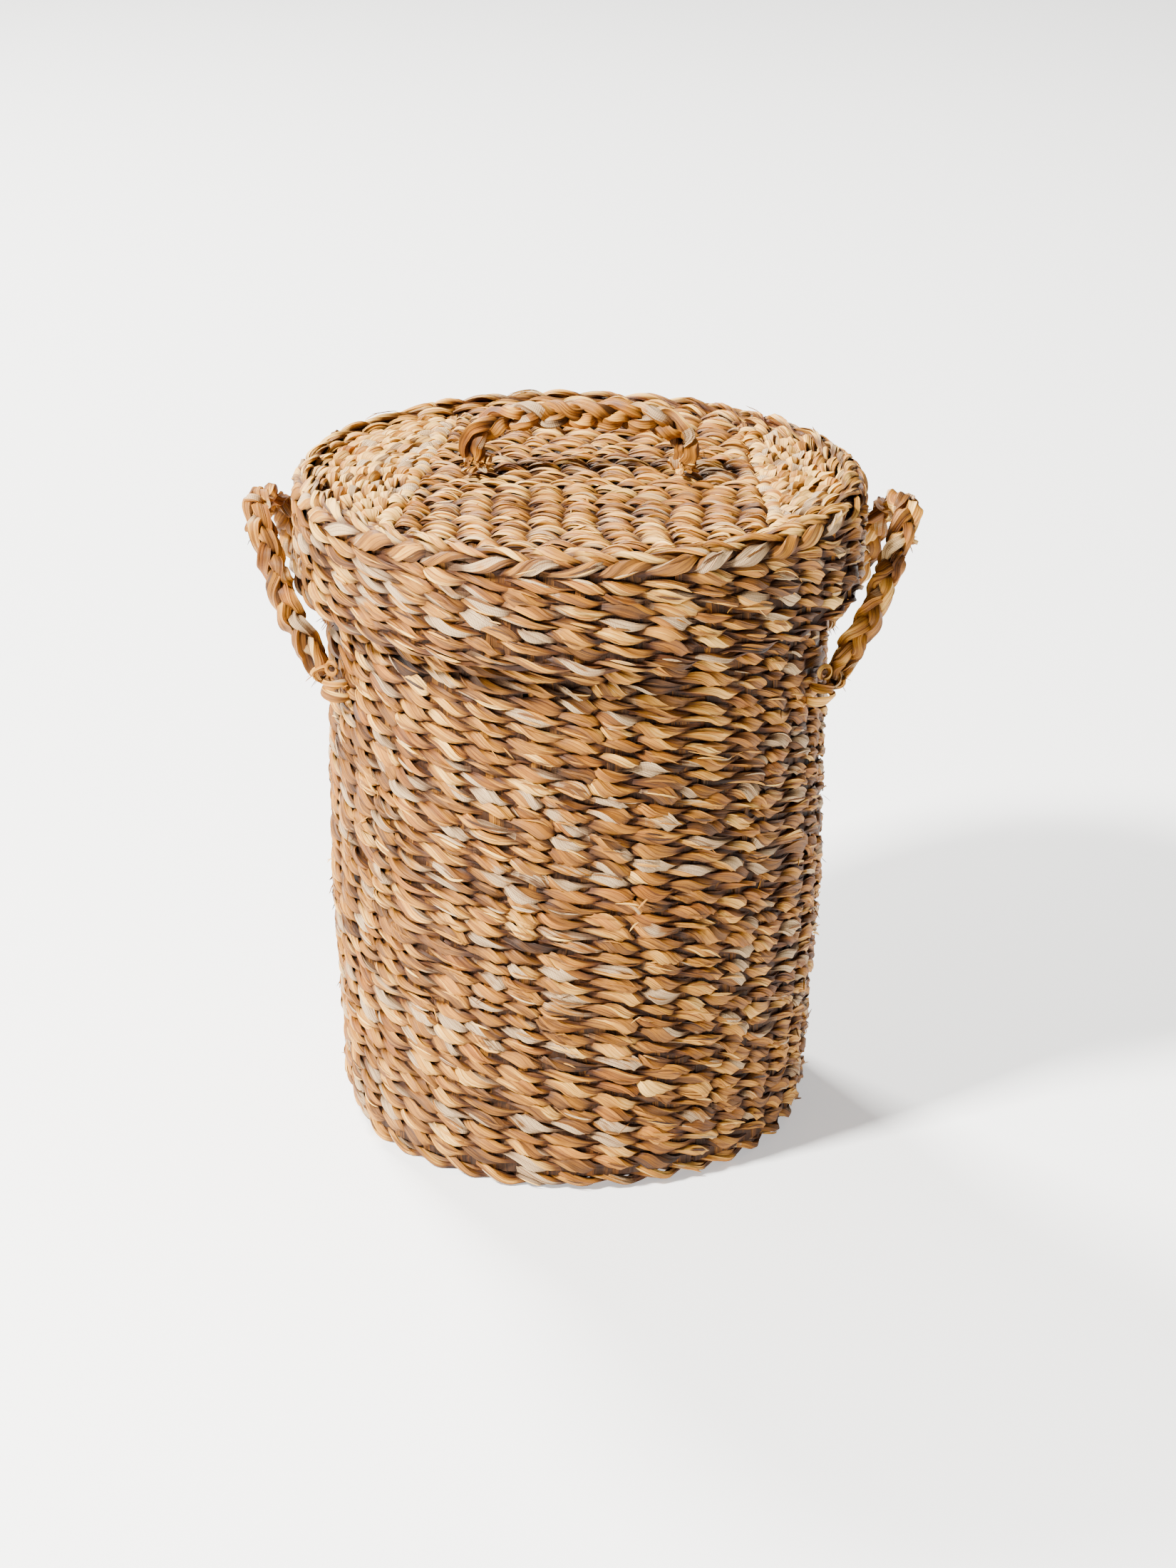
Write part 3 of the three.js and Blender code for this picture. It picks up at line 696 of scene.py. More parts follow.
# Stakes and the blades between them, in mm, and how far they reach past the weave
STAKE_HALF_WIDTH, STAKE_HALF_THICK, STAKE_LUMPS, STAKE_TONE = 4.0, 1.5, 12, 0.35
LINING_PLACES = (0.27, 0.73)
# The blades between stakes are dark as painted shade in the gaps of the weave
LINING_HALF_WIDTH, LINING_HALF_THICK, LINING_SHADE_TONE = 9.5, 0.5, 0.1
UNDER_WEAVE, OVER_WALL, OVER_SKIRT = 6 * MM, 8 * MM, 6 * MM


def stake(bundle, path, side):
    """A flat bundle of leaf that stands inside the weave."""
    place = np.linspace(0, STAKE_LUMPS, len(path))
    width = STAKE_HALF_WIDTH * uneven(1, 0.15, place) * MM
    thick = STAKE_HALF_THICK * uneven(1, 0.12, place) * MM
    tone = STAKE_TONE + 0.15 * rng.normal()
    bundle.tube(path, side, width, thick, False, 8, 0.0, 0.25, tone, 0.3)


def shade_lining(bundle, path, side, half_width, tone):
    """A dark flat blade that fills the weave between two stakes; its dark tone is painted shade."""
    bundle.tube(path, side, half_width * MM, LINING_HALF_THICK * MM, False, 8, 0.0, 0.1, tone, 0.0)


def standing_stake(bundle, theta, radius, z, stakes):
    """A stake in a round wall, with the blades that fill the wall up to the next one."""
    for aside in (0.0,) + LINING_PLACES:
        out = around(theta + TURN / stakes * aside)
        path = out * radius[:, None] + UP * z[:, None]
        if aside:
            shade_lining(bundle, path, np.cross(UP, out), LINING_HALF_WIDTH, LINING_SHADE_TONE)
        else:
            stake(bundle, path, np.cross(UP, out))


def make_wall_stakes():
    bundle = Bundle()
    z = np.linspace(wall_bottom - UNDER_WEAVE, wall_top + OVER_WALL, 60)
    theta = TURN / STAKES * (np.arange(STAKES) + stake_drift(z[:, None]))
    for k in range(STAKES):
        standing_stake(bundle, theta[:, k], wall_middle(z), z, STAKES)
    bundle.piece("body_stakes", LEAF["stake"], "basket", "stake", ["wall_stakes"])


# A rope's half height where its strands have the sizes above
ROPE_HALF_HEIGHT = 9.3 * MM
MOUTH_ROPE_INSET = 0.5 * MM


def middle_ring(node_name):
    """Middle radius, middle height and half height of a round border."""
    low, high = box(node_name)
    return high[0], (low[2] + high[2]) / 2, (high[2] - low[2]) / 2


def make_border(node_name, name, body, stakes, inset=0.0):
    """A two-ply rope that fills the ring of a CAD border."""
    radius, z, half = middle_ring(node_name)
    scale = half / ROPE_HALF_HEIGHT
    bundle = Bundle()
    ring_course(bundle, radius - half - inset, z, ROPE, stakes, scale=scale)
    bundle.piece(name, LEAF["border"], body, "border", [node_name])


# Flat round mats: a band of straight rows, with a lobe of arcs at each side

def band_edge(band, side, y):
    """How far the band of a mat reaches to one side at y. It widens to the front."""
    reach, slant = band[side > 0]
    return reach - slant * y


def any_way():
    return unit(rng.normal(0, 1, 3))


STRAND_FOLDS = 0.24
# Stubs at the edge of a band, mm: their gaps, depth, radius, half width and half thickness
EDGE_NUB_PITCH, EDGE_NUB_SUNK, EDGE_NUB_RADIUS = (8.5, 11), 3.0, (6.0, 8.0)
EDGE_NUB_HALF_WIDTH, EDGE_NUB_HALF_THICK = (4.4, 5.6), 3.2


def nub(bundle, centre, axis, radius, turn, half_width, half_thick, tone, pale, start=None):
    """A stub of strand bent over in an arc round an axis. Its sizes are in mm."""
    axis = unit(np.array(axis, float))
    side = unit(np.cross(axis, any_way()) if start is None else np.array(start, float))
    t = np.linspace(-1, 1, 15)
    angle = math.pi * turn * t
    arc = side * np.cos(angle)[:, None] + np.cross(axis, side) * np.sin(angle)[:, None]
    path = centre + arc * (radius * MM)
    taper = np.sqrt(1 - 0.8 * t ** 2) * MM
    twist = rng.uniform(0, TURN) + 0.9 * t
    bundle.tube(path, axis, half_width * taper, half_thick * taper, False, 12, twist,
                STRAND_FOLDS, tone, pale)


def edge_nubs(bundle, side, band, z, reach):
    """Stubs where the arcs of a lobe turn back at the edge of the band."""
    y = -reach
    while y < reach:
        x = side * (band_edge(band, side, y) + rng.uniform(-2, 4) * MM)
        axis = np.array([rng.normal(0, 0.4), 1.0, 0])
        centre = np.array([x, y, z - EDGE_NUB_SUNK * MM])
        tone = np.clip(rng.normal(0.6, 0.12), 0, 1)
        radius, half_width = rng.uniform(*EDGE_NUB_RADIUS), rng.uniform(*EDGE_NUB_HALF_WIDTH)
        pale = rng.uniform(0, 1.3)
        nub(bundle, centre, axis, radius, 0.5, half_width, EDGE_NUB_HALF_THICK, tone, pale, UP)
        y += rng.uniform(*EDGE_NUB_PITCH) * MM


# Rows of a band: how they sway in shares of a pitch over lengths in y, how far they stray, the
# wave that they share, how far their ends stray, mm, and what part of the band is its front
BAND_SWAYS = ((0.13, 45 * MM), (0.09, 17 * MM))
ROW_STRAY, STAKE_STRAY = 0.13, 0.11
BAND_WAVE, WAVE_LENGTH = 1.3 * MM, 50 * MM
BAND_END_STRAY = 2
FRONT_OF_BAND = -2 * FLAT_ROW_PITCH
# Gaps between the band, the arcs of a lobe and the stubs at its edge
LOBE_CLEARANCE, EDGE_CLEARANCE = 3 * MM, 8 * MM


def mat_pieces(z, radius, rings, band, form, lobe_form, face, stakes, lobe_stakes):
    """Bundles for the front and rear of the band and for the left and right lobe of a mat."""
    front, rear, left, right = (Bundle() for _ in range(4))
    for ring in range(rings):
        ring_radius = radius - FLAT_ROW_PITCH * (ring + 0.5)
        ring_course(front, ring_radius, z, form, stakes, face=face, bleach=0.3)
    inner = radius - FLAT_ROW_PITCH * rings
    rows = round(2 * inner / FLAT_ROW_PITCH)
    lean = rng.uniform(0, TURN, 3)
    for row in range(rows):
        y = inner * ((2 * row + 1) / rows - 1)
        chord = math.sqrt(inner ** 2 - y ** 2)
        low, high = max(-band_edge(band, -1, y), -chord), min(band_edge(band, 1, y), chord)
        low, high = (end + rng.uniform(-BAND_END_STRAY, BAND_END_STRAY) * MM for end in (low, high))
        if high - low > BAND_STAKE_PITCH:
            shift = sum(size * math.sin(y / length + lean[i]) for i, (size, length) in enumerate(BAND_SWAYS))
            shift += rng.normal(0, ROW_STRAY)
            u = np.arange(low / BAND_STAKE_PITCH, high / BAND_STAKE_PITCH, 1 / form["steps"])
            shift = shift + eased(rng.normal(0, STAKE_STRAY, 40), u + 20)
            x = u * BAND_STAKE_PITCH
            wave = BAND_WAVE * np.sin(x / WAVE_LENGTH + 5 * y / radius + lean[2])
            path = np.stack([x, y + wave * (1 - (y / radius) ** 2), z + 0 * x], -1)
            out = UP * math.copysign(1, face)
            bundle = front if y < FRONT_OF_BAND else rear
            twine(bundle, path, out, np.array([0, 1.0, 0]), u + shift, form, False)
    for side, bundle in ((-1, left), (1, right)):
        if face > 0:
            reach = math.sqrt(inner ** 2 - band[side > 0][0] ** 2) - EDGE_CLEARANCE
            edge_nubs(bundle, side, band, z, reach)
        middle = 0 if side > 0 else lobe_stakes / 2
        places = np.arange(-lobe_stakes / 4, lobe_stakes / 4, 0.05) + middle
        theta = TURN * places / lobe_stakes
        r = inner - LOBE_ROW_PITCH / 2
        while r > band[side > 0][0]:
            edge = band_edge(band, side, r * np.sin(theta)) + LOBE_CLEARANCE
            inside = places[side * r * np.cos(theta) > edge]
            if len(inside) > 12:
                first = inside[0] + rng.uniform(-0.2, 0.1)
                last = inside[-1] + rng.uniform(-0.1, 0.2)
                drift = rng.normal(0, STRAY["lobe"], lobe_stakes)
                ring_course(bundle, r, z, lobe_form, lobe_stakes, face, drift, None, (first, last),
                            pale_share=0.9)
            r -= LOBE_ROW_PITCH
    return front, rear, left, right


# Stakes of a mat: how many lie on each side of the middle, the blades between them, and the
# least length of those in the lobes
MAT_STAKES_ASIDE = 6
# The blades between the mat's stakes are dark as painted shade in the gaps of the band
MAT_LINING_PLACES, MAT_LINING_HALF_WIDTH, MAT_LINING_SHADE_TONE = (-0.33, 0.33), 4.8, 0.2
SHORTEST_STAKE = 12 * MM


def mat_stakes(bundle, z, radius, band, stakes):
    """Stakes that run from front to rear in a band, and outwards from it in the lobes."""
    side = np.array([1.0, 0, 0])
    for k in range(-MAT_STAKES_ASIDE, MAT_STAKES_ASIDE + 1):
        x = k * BAND_STAKE_PITCH
        if -band[0][0] < x < band[1][0]:
            chord = math.sqrt(radius ** 2 - x ** 2)
            y = np.linspace(-chord, chord, 50)
            path = np.stack([x + 0 * y, y, z + 0 * y], -1)
            stake(bundle, path, side)
            for aside in MAT_LINING_PLACES:
                beside = path + side * aside * BAND_STAKE_PITCH
                shade_lining(bundle, beside, side, MAT_LINING_HALF_WIDTH, MAT_LINING_SHADE_TONE)
    for k in range(stakes):
        theta = TURN * k / stakes
        edge = band[math.cos(theta) > 0][0]
        inner = min(edge / max(abs(math.cos(theta)), 1e-3), radius - SHORTEST_STAKE)
        r = np.linspace(inner, radius, 10)
        path = around(theta + 0 * r) * r[:, None] + UP * z
        stake(bundle, path, np.cross(UP, around(np.array([theta])))[0])


# How far the band of a mat reaches to its left and to its right, and how it widens to the front
LID_BAND = ((124 * MM, 0.14), (141 * MM, 0.05))
BASE_BAND = ((105 * MM, 0.0), (105 * MM, 0.0))
LID_RINGS, BASE_RINGS = 1, 2
LOBE_STAKES = 64
MAT_PARTS = ("front", "rear", "left", "right")


def make_base():
    low, high = box("base_mat")
    z = (low[2] + high[2]) / 2
    pieces = mat_pieces(z, high[0], BASE_RINGS, BASE_BAND, BASE, BASE, -90, STAKES, STAKES)
    mat_stakes(pieces[0], z, high[0], BASE_BAND, STAKES)
    for part, bundle in zip(MAT_PARTS, pieces):
        bundle.piece(f"base_weave_{part}", LEAF["weave"], "basket", "weave", ["base_mat"])


def make_lid_top():
    z = (lid_plate_low[2] + lid_plate_high[2]) / 2
    radius = lid_plate_high[0]
    pieces = mat_pieces(z, radius, LID_RINGS, LID_BAND, FLAT, LOBE, 90, LID_STAKES, LOBE_STAKES)
    for part, bundle in zip(MAT_PARTS, pieces):
        look = LEAF["lobe"] if part in ("left", "right") else LEAF["lid"]
        bundle.piece(f"lid_top_rows_{part}", look, "lid", "weave", ["lid_top_weave"])
    bundle = Bundle()
    mat_stakes(bundle, z, radius, LID_BAND, LID_STAKES)
    z = np.linspace(skirt_low[2] - UNDER_WEAVE, skirt_high[2] + OVER_SKIRT, 24)
    radius = lid_radius - SKIRT_THICKNESS / 2 + 0 * z
    for k in range(LID_STAKES):
        theta = TURN / LID_STAKES * (k + skirt_drift[k]) + 0 * z
        standing_stake(bundle, theta, radius, z, LID_STAKES)
    bundle.piece("lid_stake_bundles", LEAF["stake"], "lid", "stake", ["lid_stakes"])


# The two courses of the rim: their inset, their lean in degrees, how much paler their sides are,
# and how much of a pitch the upper one is turned
RIM_INSET, UPPER_RIM_INSET = 6.5 * MM, 12.0 * MM
RIM_LEAN, UPPER_RIM_LEAN = 18, 62
RIM_BLEACH, UPPER_RIM_BLEACH = 0.12, 0.25
UPPER_RIM_TURN = 0.4


def make_rim():
    """The edge of the lid: long strands that slant against the rows below and above them."""
    low, high = box("lid_rim_border")
    bundle = Bundle()
    drift = skirt_drift + rng.normal(0, STRAY["rim"], LID_STAKES)
    ring_course(bundle, high[0] - RIM_INSET, low[2] + RIM_INSET, RIM, LID_STAKES, RIM_LEAN, drift,
                hand=-1, bleach=RIM_BLEACH)
    drift = drift + UPPER_RIM_TURN + rng.normal(0, STRAY["upper_rim"], LID_STAKES)
    ring_course(bundle, high[0] - UPPER_RIM_INSET, high[2] - RIM_INSET, UPPER_RIM, LID_STAKES,
                UPPER_RIM_LEAN, drift, bleach=UPPER_RIM_BLEACH)
    bundle.piece("lid_rim_plait", LEAF["rim"], "lid", "border", ["lid_rim_border"])


def make_skirt():
    rows = round((skirt_high[2] - skirt_low[2]) / SKIRT_ROW_PITCH)
    pitch = (skirt_high[2] - skirt_low[2]) / rows
    bundle = Bundle()
    for row in range(rows):
        z = skirt_low[2] + (row + 0.5) * pitch
        drift = skirt_drift + rng.normal(0, STRAY["skirt"], LID_STAKES)
        ring_course(bundle, lid_radius - SKIRT_THICKNESS / 2, z, SKIRT, LID_STAKES, drift=drift)
    bundle.piece("lid_skirt_rows", LEAF["weave"], "lid", "weave", ["lid_skirt_weave"])


skirt_drift = 0.17 * np.sin(rng.uniform(0, TURN, LID_STAKES))

make_wall()
make_wall_stakes()
make_border("foot_border", "foot_rope", "basket", STAKES)
make_border("mouth_border", "mouth_rope", "basket", STAKES, MOUTH_ROPE_INSET)
make_base()
make_lid_top()
make_rim()
make_skirt()
make_border("lid_skirt_border", "lid_skirt_rope", "lid", LID_STAKES)


# Plaits

def smooth_route(points, step):
    """A centripetal curve through the points, cut into even steps."""
    p = np.vstack([2 * points[0] - points[1], points, 2 * points[-1] - points[-2]])
    gap = np.linalg.norm(np.diff(p, axis=0), axis=1) ** 0.5
    t = np.linspace(0, 1, 40, endpoint=False)[:, None]
    parts = []
    for i in range(1, len(p) - 2):
        a, b, c, d = p[i - 1:i + 3]
        before, here, after = gap[i - 1], gap[i], gap[i + 1]
        leave = ((b - a) / before - (c - a) / (before + here) + (c - b) / here) * here
        arrive = ((c - b) / here - (d - b) / (here + after) + (d - c) / after) * here
        parts.append(b + leave * t + (3 * (c - b) - 2 * leave - arrive) * t ** 2
                     + (2 * (b - c) + leave + arrive) * t ** 3)
    dense = np.vstack(parts + [points[-1:]])
    along = np.append(0, np.cumsum(np.linalg.norm(np.diff(dense, axis=0), axis=1)))
    even = np.linspace(0, along[-1], round(along[-1] / step) + 1)
    return np.stack([np.interp(even, along, dense[:, i]) for i in range(3)], -1), even


# A plait, mm: its section, the length in which a strand comes back to its side, its gathered ends,
# its strands, how near the plait's middle their painted shade starts and how soon it is full, and their
# lumps, turns and tones
PLAIT = {
    "pitch": 6.9, "wide": 6.2, "thick": 4.9, "period": 69.7, "gather": 12.0, "ease": 20.0,
    "half_width": 5.5, "half_thick": 4.6, "sides": 16, "step": 1.8, "face": 6.4, "deep": 3.6,
    "lump": 9.0, "lump_spread": 0.07, "bulge": 0.14, "waist": 0.08, "twist": 14, "twist_spread": 0.5,
    "tone": 0.5, "strand_tone": 0.08, "tone_spread": 0.15, "pale": 0.9,
}


def plait(bundle, points, normal, wide_across, hand):
    """Three strands that change places along a route, gathered at both ends."""
    route, s = smooth_route(points, PLAIT["step"] * MM)
    s = s / MM
    length = s[-1]
    along = unit(np.gradient(route, axis=0))
    across = unit(normal - along * (along @ normal)[:, None])
    beside = np.cross(along, across) * hand
    gather, ease = PLAIT["gather"], PLAIT["ease"]
    free = length - 2 * gather - ease
    rate = round(6 * free / PLAIT["period"]) * math.pi / 3 / free
    span = length - 2 * gather

    def eased_in(x):
        share = np.clip(x / ease, 0, 1)
        return ease * (share ** 3 - share ** 4 / 2) + np.maximum(0, x - ease)

    x = np.clip(s - gather, 0, span)
    turned = np.where(x < span / 2, eased_in(x), span - ease - eased_in(span - x)) * rate
    opened = smooth(np.minimum(s, length - s) / gather)
    gathered = PLAIT["pitch"] / math.sqrt(3)
    width = gathered + (PLAIT["wide"] - gathered) * opened
    depth = gathered + (PLAIT["thick"] - gathered) * opened

    # How far points lie inside the plait, for painted shade between its strands
    def deep(points):
        away = np.linalg.norm(points - route[:, None], axis=-1)
        return smooth((PLAIT["face"] * MM - away) / (PLAIT["deep"] * MM))

    for strand in range(3):
        angle = math.pi / 2 + turned + TURN * strand / 3
        wide, thick = width * np.sin(angle), depth * np.sin(2 * angle)
        first, second = (wide, thick) if wide_across else (thick, wide)
        centre = route + (across * first[:, None] + beside * second[:, None]) * MM
        place = s / PLAIT["lump"]
        bulge = 1 + PLAIT["bulge"] * np.abs(np.cos(angle)) - PLAIT["waist"] * np.abs(np.sin(angle))
        half_width = PLAIT["half_width"] * bulge * uneven(1, PLAIT["lump_spread"], place) * MM
        half_thick = PLAIT["half_thick"] * uneven(1, PLAIT["lump_spread"], place) * MM
        tone = PLAIT["tone"] + PLAIT["strand_tone"] * rng.normal()
        tone = tone + uneven(0, PLAIT["tone_spread"], place)
        pale = eased(rng.uniform(0, PLAIT["pale"], math.ceil(place[-1]) + 2), place)
        twist = uneven(0, PLAIT["twist_spread"], place) + rng.uniform(0, TURN) + s / PLAIT["twist"]
        bundle.tube(
            centre, across if wide_across else beside, half_width, half_thick, False, PLAIT["sides"],
            twist, STRAND_FOLDS, np.clip(tone, 0, 1), pale, deep,
        )


# Frayed fibres by their place: ranges of length and half width, mm, and of tone
KNOT_HAIR = ((5, 9), 0.5, 0.4)
LASHING_HAIR = ((4, 9), 0.5, 0.4)
TUFT_HAIR = ((5, 10), (0.4, 0.9), (0.4, 0.8))
WALL_HAIR = ((7, 15), (0.4, 1.0), (0.2, 0.9))
TOP_HAIR = ((6, 13), (0.4, 1.0), (0.3, 1.0))
# Ranges of a knot's stubs, mm: radius, turn, half width and half thickness
KNOT_SIZES = ((3.5, 6.0), (0.5, 0.75), (3.0, 4.3), (2.6, 3.4))


def hair(bundle, start, way, ranges):
    """A thin frayed fibre that curls a little."""
    length, half_width, tone = (rng.uniform(*r) if isinstance(r, tuple) else r for r in ranges)
    t = np.linspace(0, 1, 8)[:, None]
    curl = np.cross(way, any_way()) * rng.uniform(-0.3, 0.3)
    path = start + (unit(way) * t + curl * t ** 2 - UP * 0.3 * t ** 2) * length * MM
    sliver(bundle, path, any_way(), half_width, tone, 0.0, 0.25)


def knot(bundle, centre, spread, count, pale_share):
    """A cluster of bent stubs with a few frayed fibres."""
    for _ in range(count):
        scatter = np.clip(rng.normal(0, 0.6, 3), -1, 1)
        axis = any_way()
        sizes = [rng.uniform(*ends) for ends in KNOT_SIZES]
        tone = np.clip(rng.normal(0.66, 0.14), 0, 1)
        pale = rng.uniform(0, 1.4) * pale_share
        nub(bundle, centre + scatter * spread * MM, axis, *sizes, tone, pale)
    for _ in range(count):
        way = any_way()
        hair(bundle, centre + way * spread * 0.8 * MM, way, KNOT_HAIR)


# Routes of the plaits, as shares of their reach from the hinge
SIDE_LOOP = [
    (0, -1, 0), (0.2, -1.02, 0.2), (0.46, -0.97, 0.4), (0.68, -0.82, 0.66), (0.91, -0.54, 0.9),
    (1, -0.18, 1), (0.88, 0.24, 0.96), (0.68, 0.6, 0.8), (0.57, 0.8, 0.54), (0.42, 0.93, 0.36),
    (0.18, 0.99, 0.17), (0, 1, 0),
]
LID_LOOP = [(1, 0), (1.05, 0.3), (0.99, 0.6), (0.82, 0.85), (0.54, 0.97), (0.18, 1)]
SIDE_REACH = {"left": np.array([51, 66, 119]) * MM, "right": np.array([54.5, 65, 119]) * MM}
LID_LOOP_REACH = np.array([78, 39]) * MM
HANDLE_LEAN = math.radians(20)
# The crown of a side handle against the end of its reach, mm, and the knots on it: their place
# from the crown, their spread, their number of stubs and their share of pale side
CROWN_PLACE = (0, -16, -3)
CROWN_KNOTS = (
    ((-2, 0, 0), (6.0, 9.0, 6.0), 9, 0.9),
    ((-6, 30, -6), (5.0, 8.0, 5.0), 4, 0.9),
    ((0, -18, -15), (3.0, 5.0, 5.0), 2, 0.6),
)


def joint_place(name):
    return np.array(next(j["pos_m"] for j in frame["joints"] if j["name"] == name))


def make_side_handle(name, side):
    hinge = joint_place(f"{name}_handle_swing")
    points = np.array(SIDE_LOOP) * SIDE_REACH[name] * [side, 1, 1] + hinge
    normal = np.array([side * math.cos(HANDLE_LEAN), 0, -math.sin(HANDLE_LEAN)])
    bundle = Bundle()
    plait(bundle, points, normal, True, side)
    reach = SIDE_REACH[name] * [side, 0, 1]
    crown = hinge + reach + np.array(CROWN_PLACE) * MM
    for place, spread, count, pale_share in CROWN_KNOTS:
        centre = crown + np.array(place) * [side, 1, 1] * MM
        knot(bundle, centre, np.array(spread), count, pale_share)
    nodes = [f"{name}_handle_strand_{i}" for i in (1, 2, 3)]
    bundle.piece(f"{name}_handle_plait", LEAF["strand"], f"{name}_handle", "strand", nodes)


def make_lid_handle():
    hinge = joint_place("lid_handle_tilt")
    half = [(x, 0, z) for x, z in LID_LOOP]
    mirrored = [(-x, 0, z) for x, _, z in half]
    reach = np.array([LID_LOOP_REACH[0], 1, LID_LOOP_REACH[1]])
    points = np.array(mirrored + half[::-1]) * reach + hinge
    bundle = Bundle()
    plait(bundle, points, np.array([0, 1.0, 0]), False, 1)
    nodes = [f"lid_handle_strand_{i}" for i in (1, 2, 3)]
    bundle.piece("lid_handle_plait", LEAF["strand"], "lid_handle", "strand", nodes)


make_side_handle("left", -1)
make_side_handle("right", 1)
make_lid_handle()


# Lashings: turns of strand round the hinge line, with loops that go into the weave. A stub has, in
# mm, a radius, a turn, half a width and thickness, a tone and a share of pale side.
COIL_RADIUS, COIL_HALF_WIDTH, COIL_HALF_THICK, COIL_ENDS = 6.0, 4.4, 2.2, 9
COIL_TURNS, COIL_STEPS, COIL_TONE = 2.4, 22, 0.5
ROOT_LOOPS = ((-0.25, 1.0), (0.22, -3.0))
ROOT_LOOP = (8.0, 0.62, 4.6, 2.4, 0.62, 0.9)
ROOT_LOOP_SUNK = 4
ROSETTE_PLACE = (1, 9, 8)
ROSETTE, ROSETTE_CORE = (5.0, 0.98, 2.8, 2.4, 0.66, 0.2), (1.2, 0.9, 2.6, 2.0, 0.1, 0.0)
UPPER_WRAP, LOWER_WRAP = (9.0, 0.6, 4.2, 2.4, 0.7, 1.2), (11.0, 0.6, 4.8, 2.6, 0.6, 0.2)
UPPER_WRAP_PLACE, LOWER_WRAP_PLACE = (3, 3), (4, 11)
LASHING_HAIRS, LASHING_HAIR_START = 14, 6


def coil(bundle, centre, axis, up, length):
    """A strand wound round an axis, with uneven turns."""
    t = np.linspace(0, 1, round(COIL_TURNS * COIL_STEPS))
    side = np.cross(axis, up)
    angle = TURN * COIL_TURNS * t + rng.uniform(0, TURN)
    out = up * np.cos(angle)[:, None] + side * np.sin(angle)[:, None]
    reach = COIL_RADIUS * MM * (1 + 0.06 * np.sin(3 * angle + 1))
    path = centre + out * reach[:, None] + axis * (length * (t - 0.5))[:, None]
    place = t * COIL_TURNS
    width = COIL_HALF_WIDTH * uneven(1, 0.1, place) * MM
    shade = np.clip(COIL_TONE + uneven(0, 0.14, place), 0, 1)
    twist, pale = rng.uniform(0, TURN), rng.uniform(0, 0.9)
    bundle.tube(path, axis, width, COIL_HALF_THICK * MM, False, 12, twist, 0.25, shade, pale)


def lashing_middle(name, joint, axis):
    """The middle of a lashing on its hinge line, and its length along that line."""
    low, high = box(name)
    middle = (low + high) / 2
    return joint_place(joint) * (1 - axis) + middle * axis, abs((high - low) @ axis)


def make_side_lashing(side_name, side, place, end):
    """Turns of strand that tie a plait's end to the wall. end points away from the handle."""
    axis, outward = np.array([0, 1.0, 0]), np.array([side, 0.0, 0])
    name = f"{side_name}_{place}_lashing"
    centre, length = lashing_middle(name, f"{side_name}_handle_swing", axis)
    bundle = Bundle()
    coil(bundle, centre, axis, outward, length - COIL_ENDS * MM)
    for shift, height in ROOT_LOOPS:
        start = centre + axis * shift * length - outward * ROOT_LOOP_SUNK * MM + UP * height * MM
        lean = rng.uniform(-0.4, 0.4)
        nub(bundle, start, axis + UP * lean, *ROOT_LOOP, outward)
    face = unit(outward * 0.6 + axis * end * 0.8)
    beyond, inwards, above = np.array(ROSETTE_PLACE) * MM
    wrap = centre + axis * end * (length / 2 + beyond) - outward * inwards
    nub(bundle, wrap + UP * above, face, *ROSETTE)
    nub(bundle, wrap + UP * above - face * MM, face, *ROSETTE_CORE)
    for (inwards, below), lean, sizes in (
            (UPPER_WRAP_PLACE, 0.3, UPPER_WRAP), (LOWER_WRAP_PLACE, -0.2, LOWER_WRAP)):
        start = wrap - UP * below * MM - outward * inwards * MM
        nub(bundle, start, UP + axis * lean, *sizes, face)
    for _ in range(LASHING_HAIRS):
        way = unit(outward * rng.uniform(0.2, 1) + axis * rng.normal(0, 0.8) + UP * rng.normal(0.1, 0.7))
        hair(bundle, centre + way * LASHING_HAIR_START * MM, way, LASHING_HAIR)
    bundle.piece(f"{name}_turns", LEAF["lashing"], "basket", "lashing", [name])


# At a root of the lid handle: stubs that hold it down, tails that fan out on the mat, and a tuft
HOLDING_PLACES = (-0.26, 0.02, 0.27)
HOLDING = (0.6, 4.3, 2.4, 0.56, 0.5)
HOLDING_RADIUS, HOLDING_LEAN, HOLDING_SUNK = (5.5, 6.8), 0.3, 1.5
TAILS, TAIL_HALF_WIDTH, TAIL_HALF_THICK = 4, 3.6, 1.6
TAIL_WAY, TAIL_LENGTH, TAIL_RISE, TAIL_SUNK = (0.3, 0.5), (13, 18), 5, 3.5
TAIL_TONE, TAIL_PALE = (0.45, 0.8), 0.9
TUFT_HAIRS = {"left": 46, "right": 16}
TUFT_PLACE = ((3, 5), (-5, 3), (-2, 3))
TUFT_WAY = ((0.2, 0.8), (-0.5, 0.5), (0, 0.8))


def scattered(x, y, z):
    """A random triple: x and y as middle and spread, z as lowest and highest."""
    return np.array([rng.normal(*x), rng.normal(*y), rng.uniform(*z)])


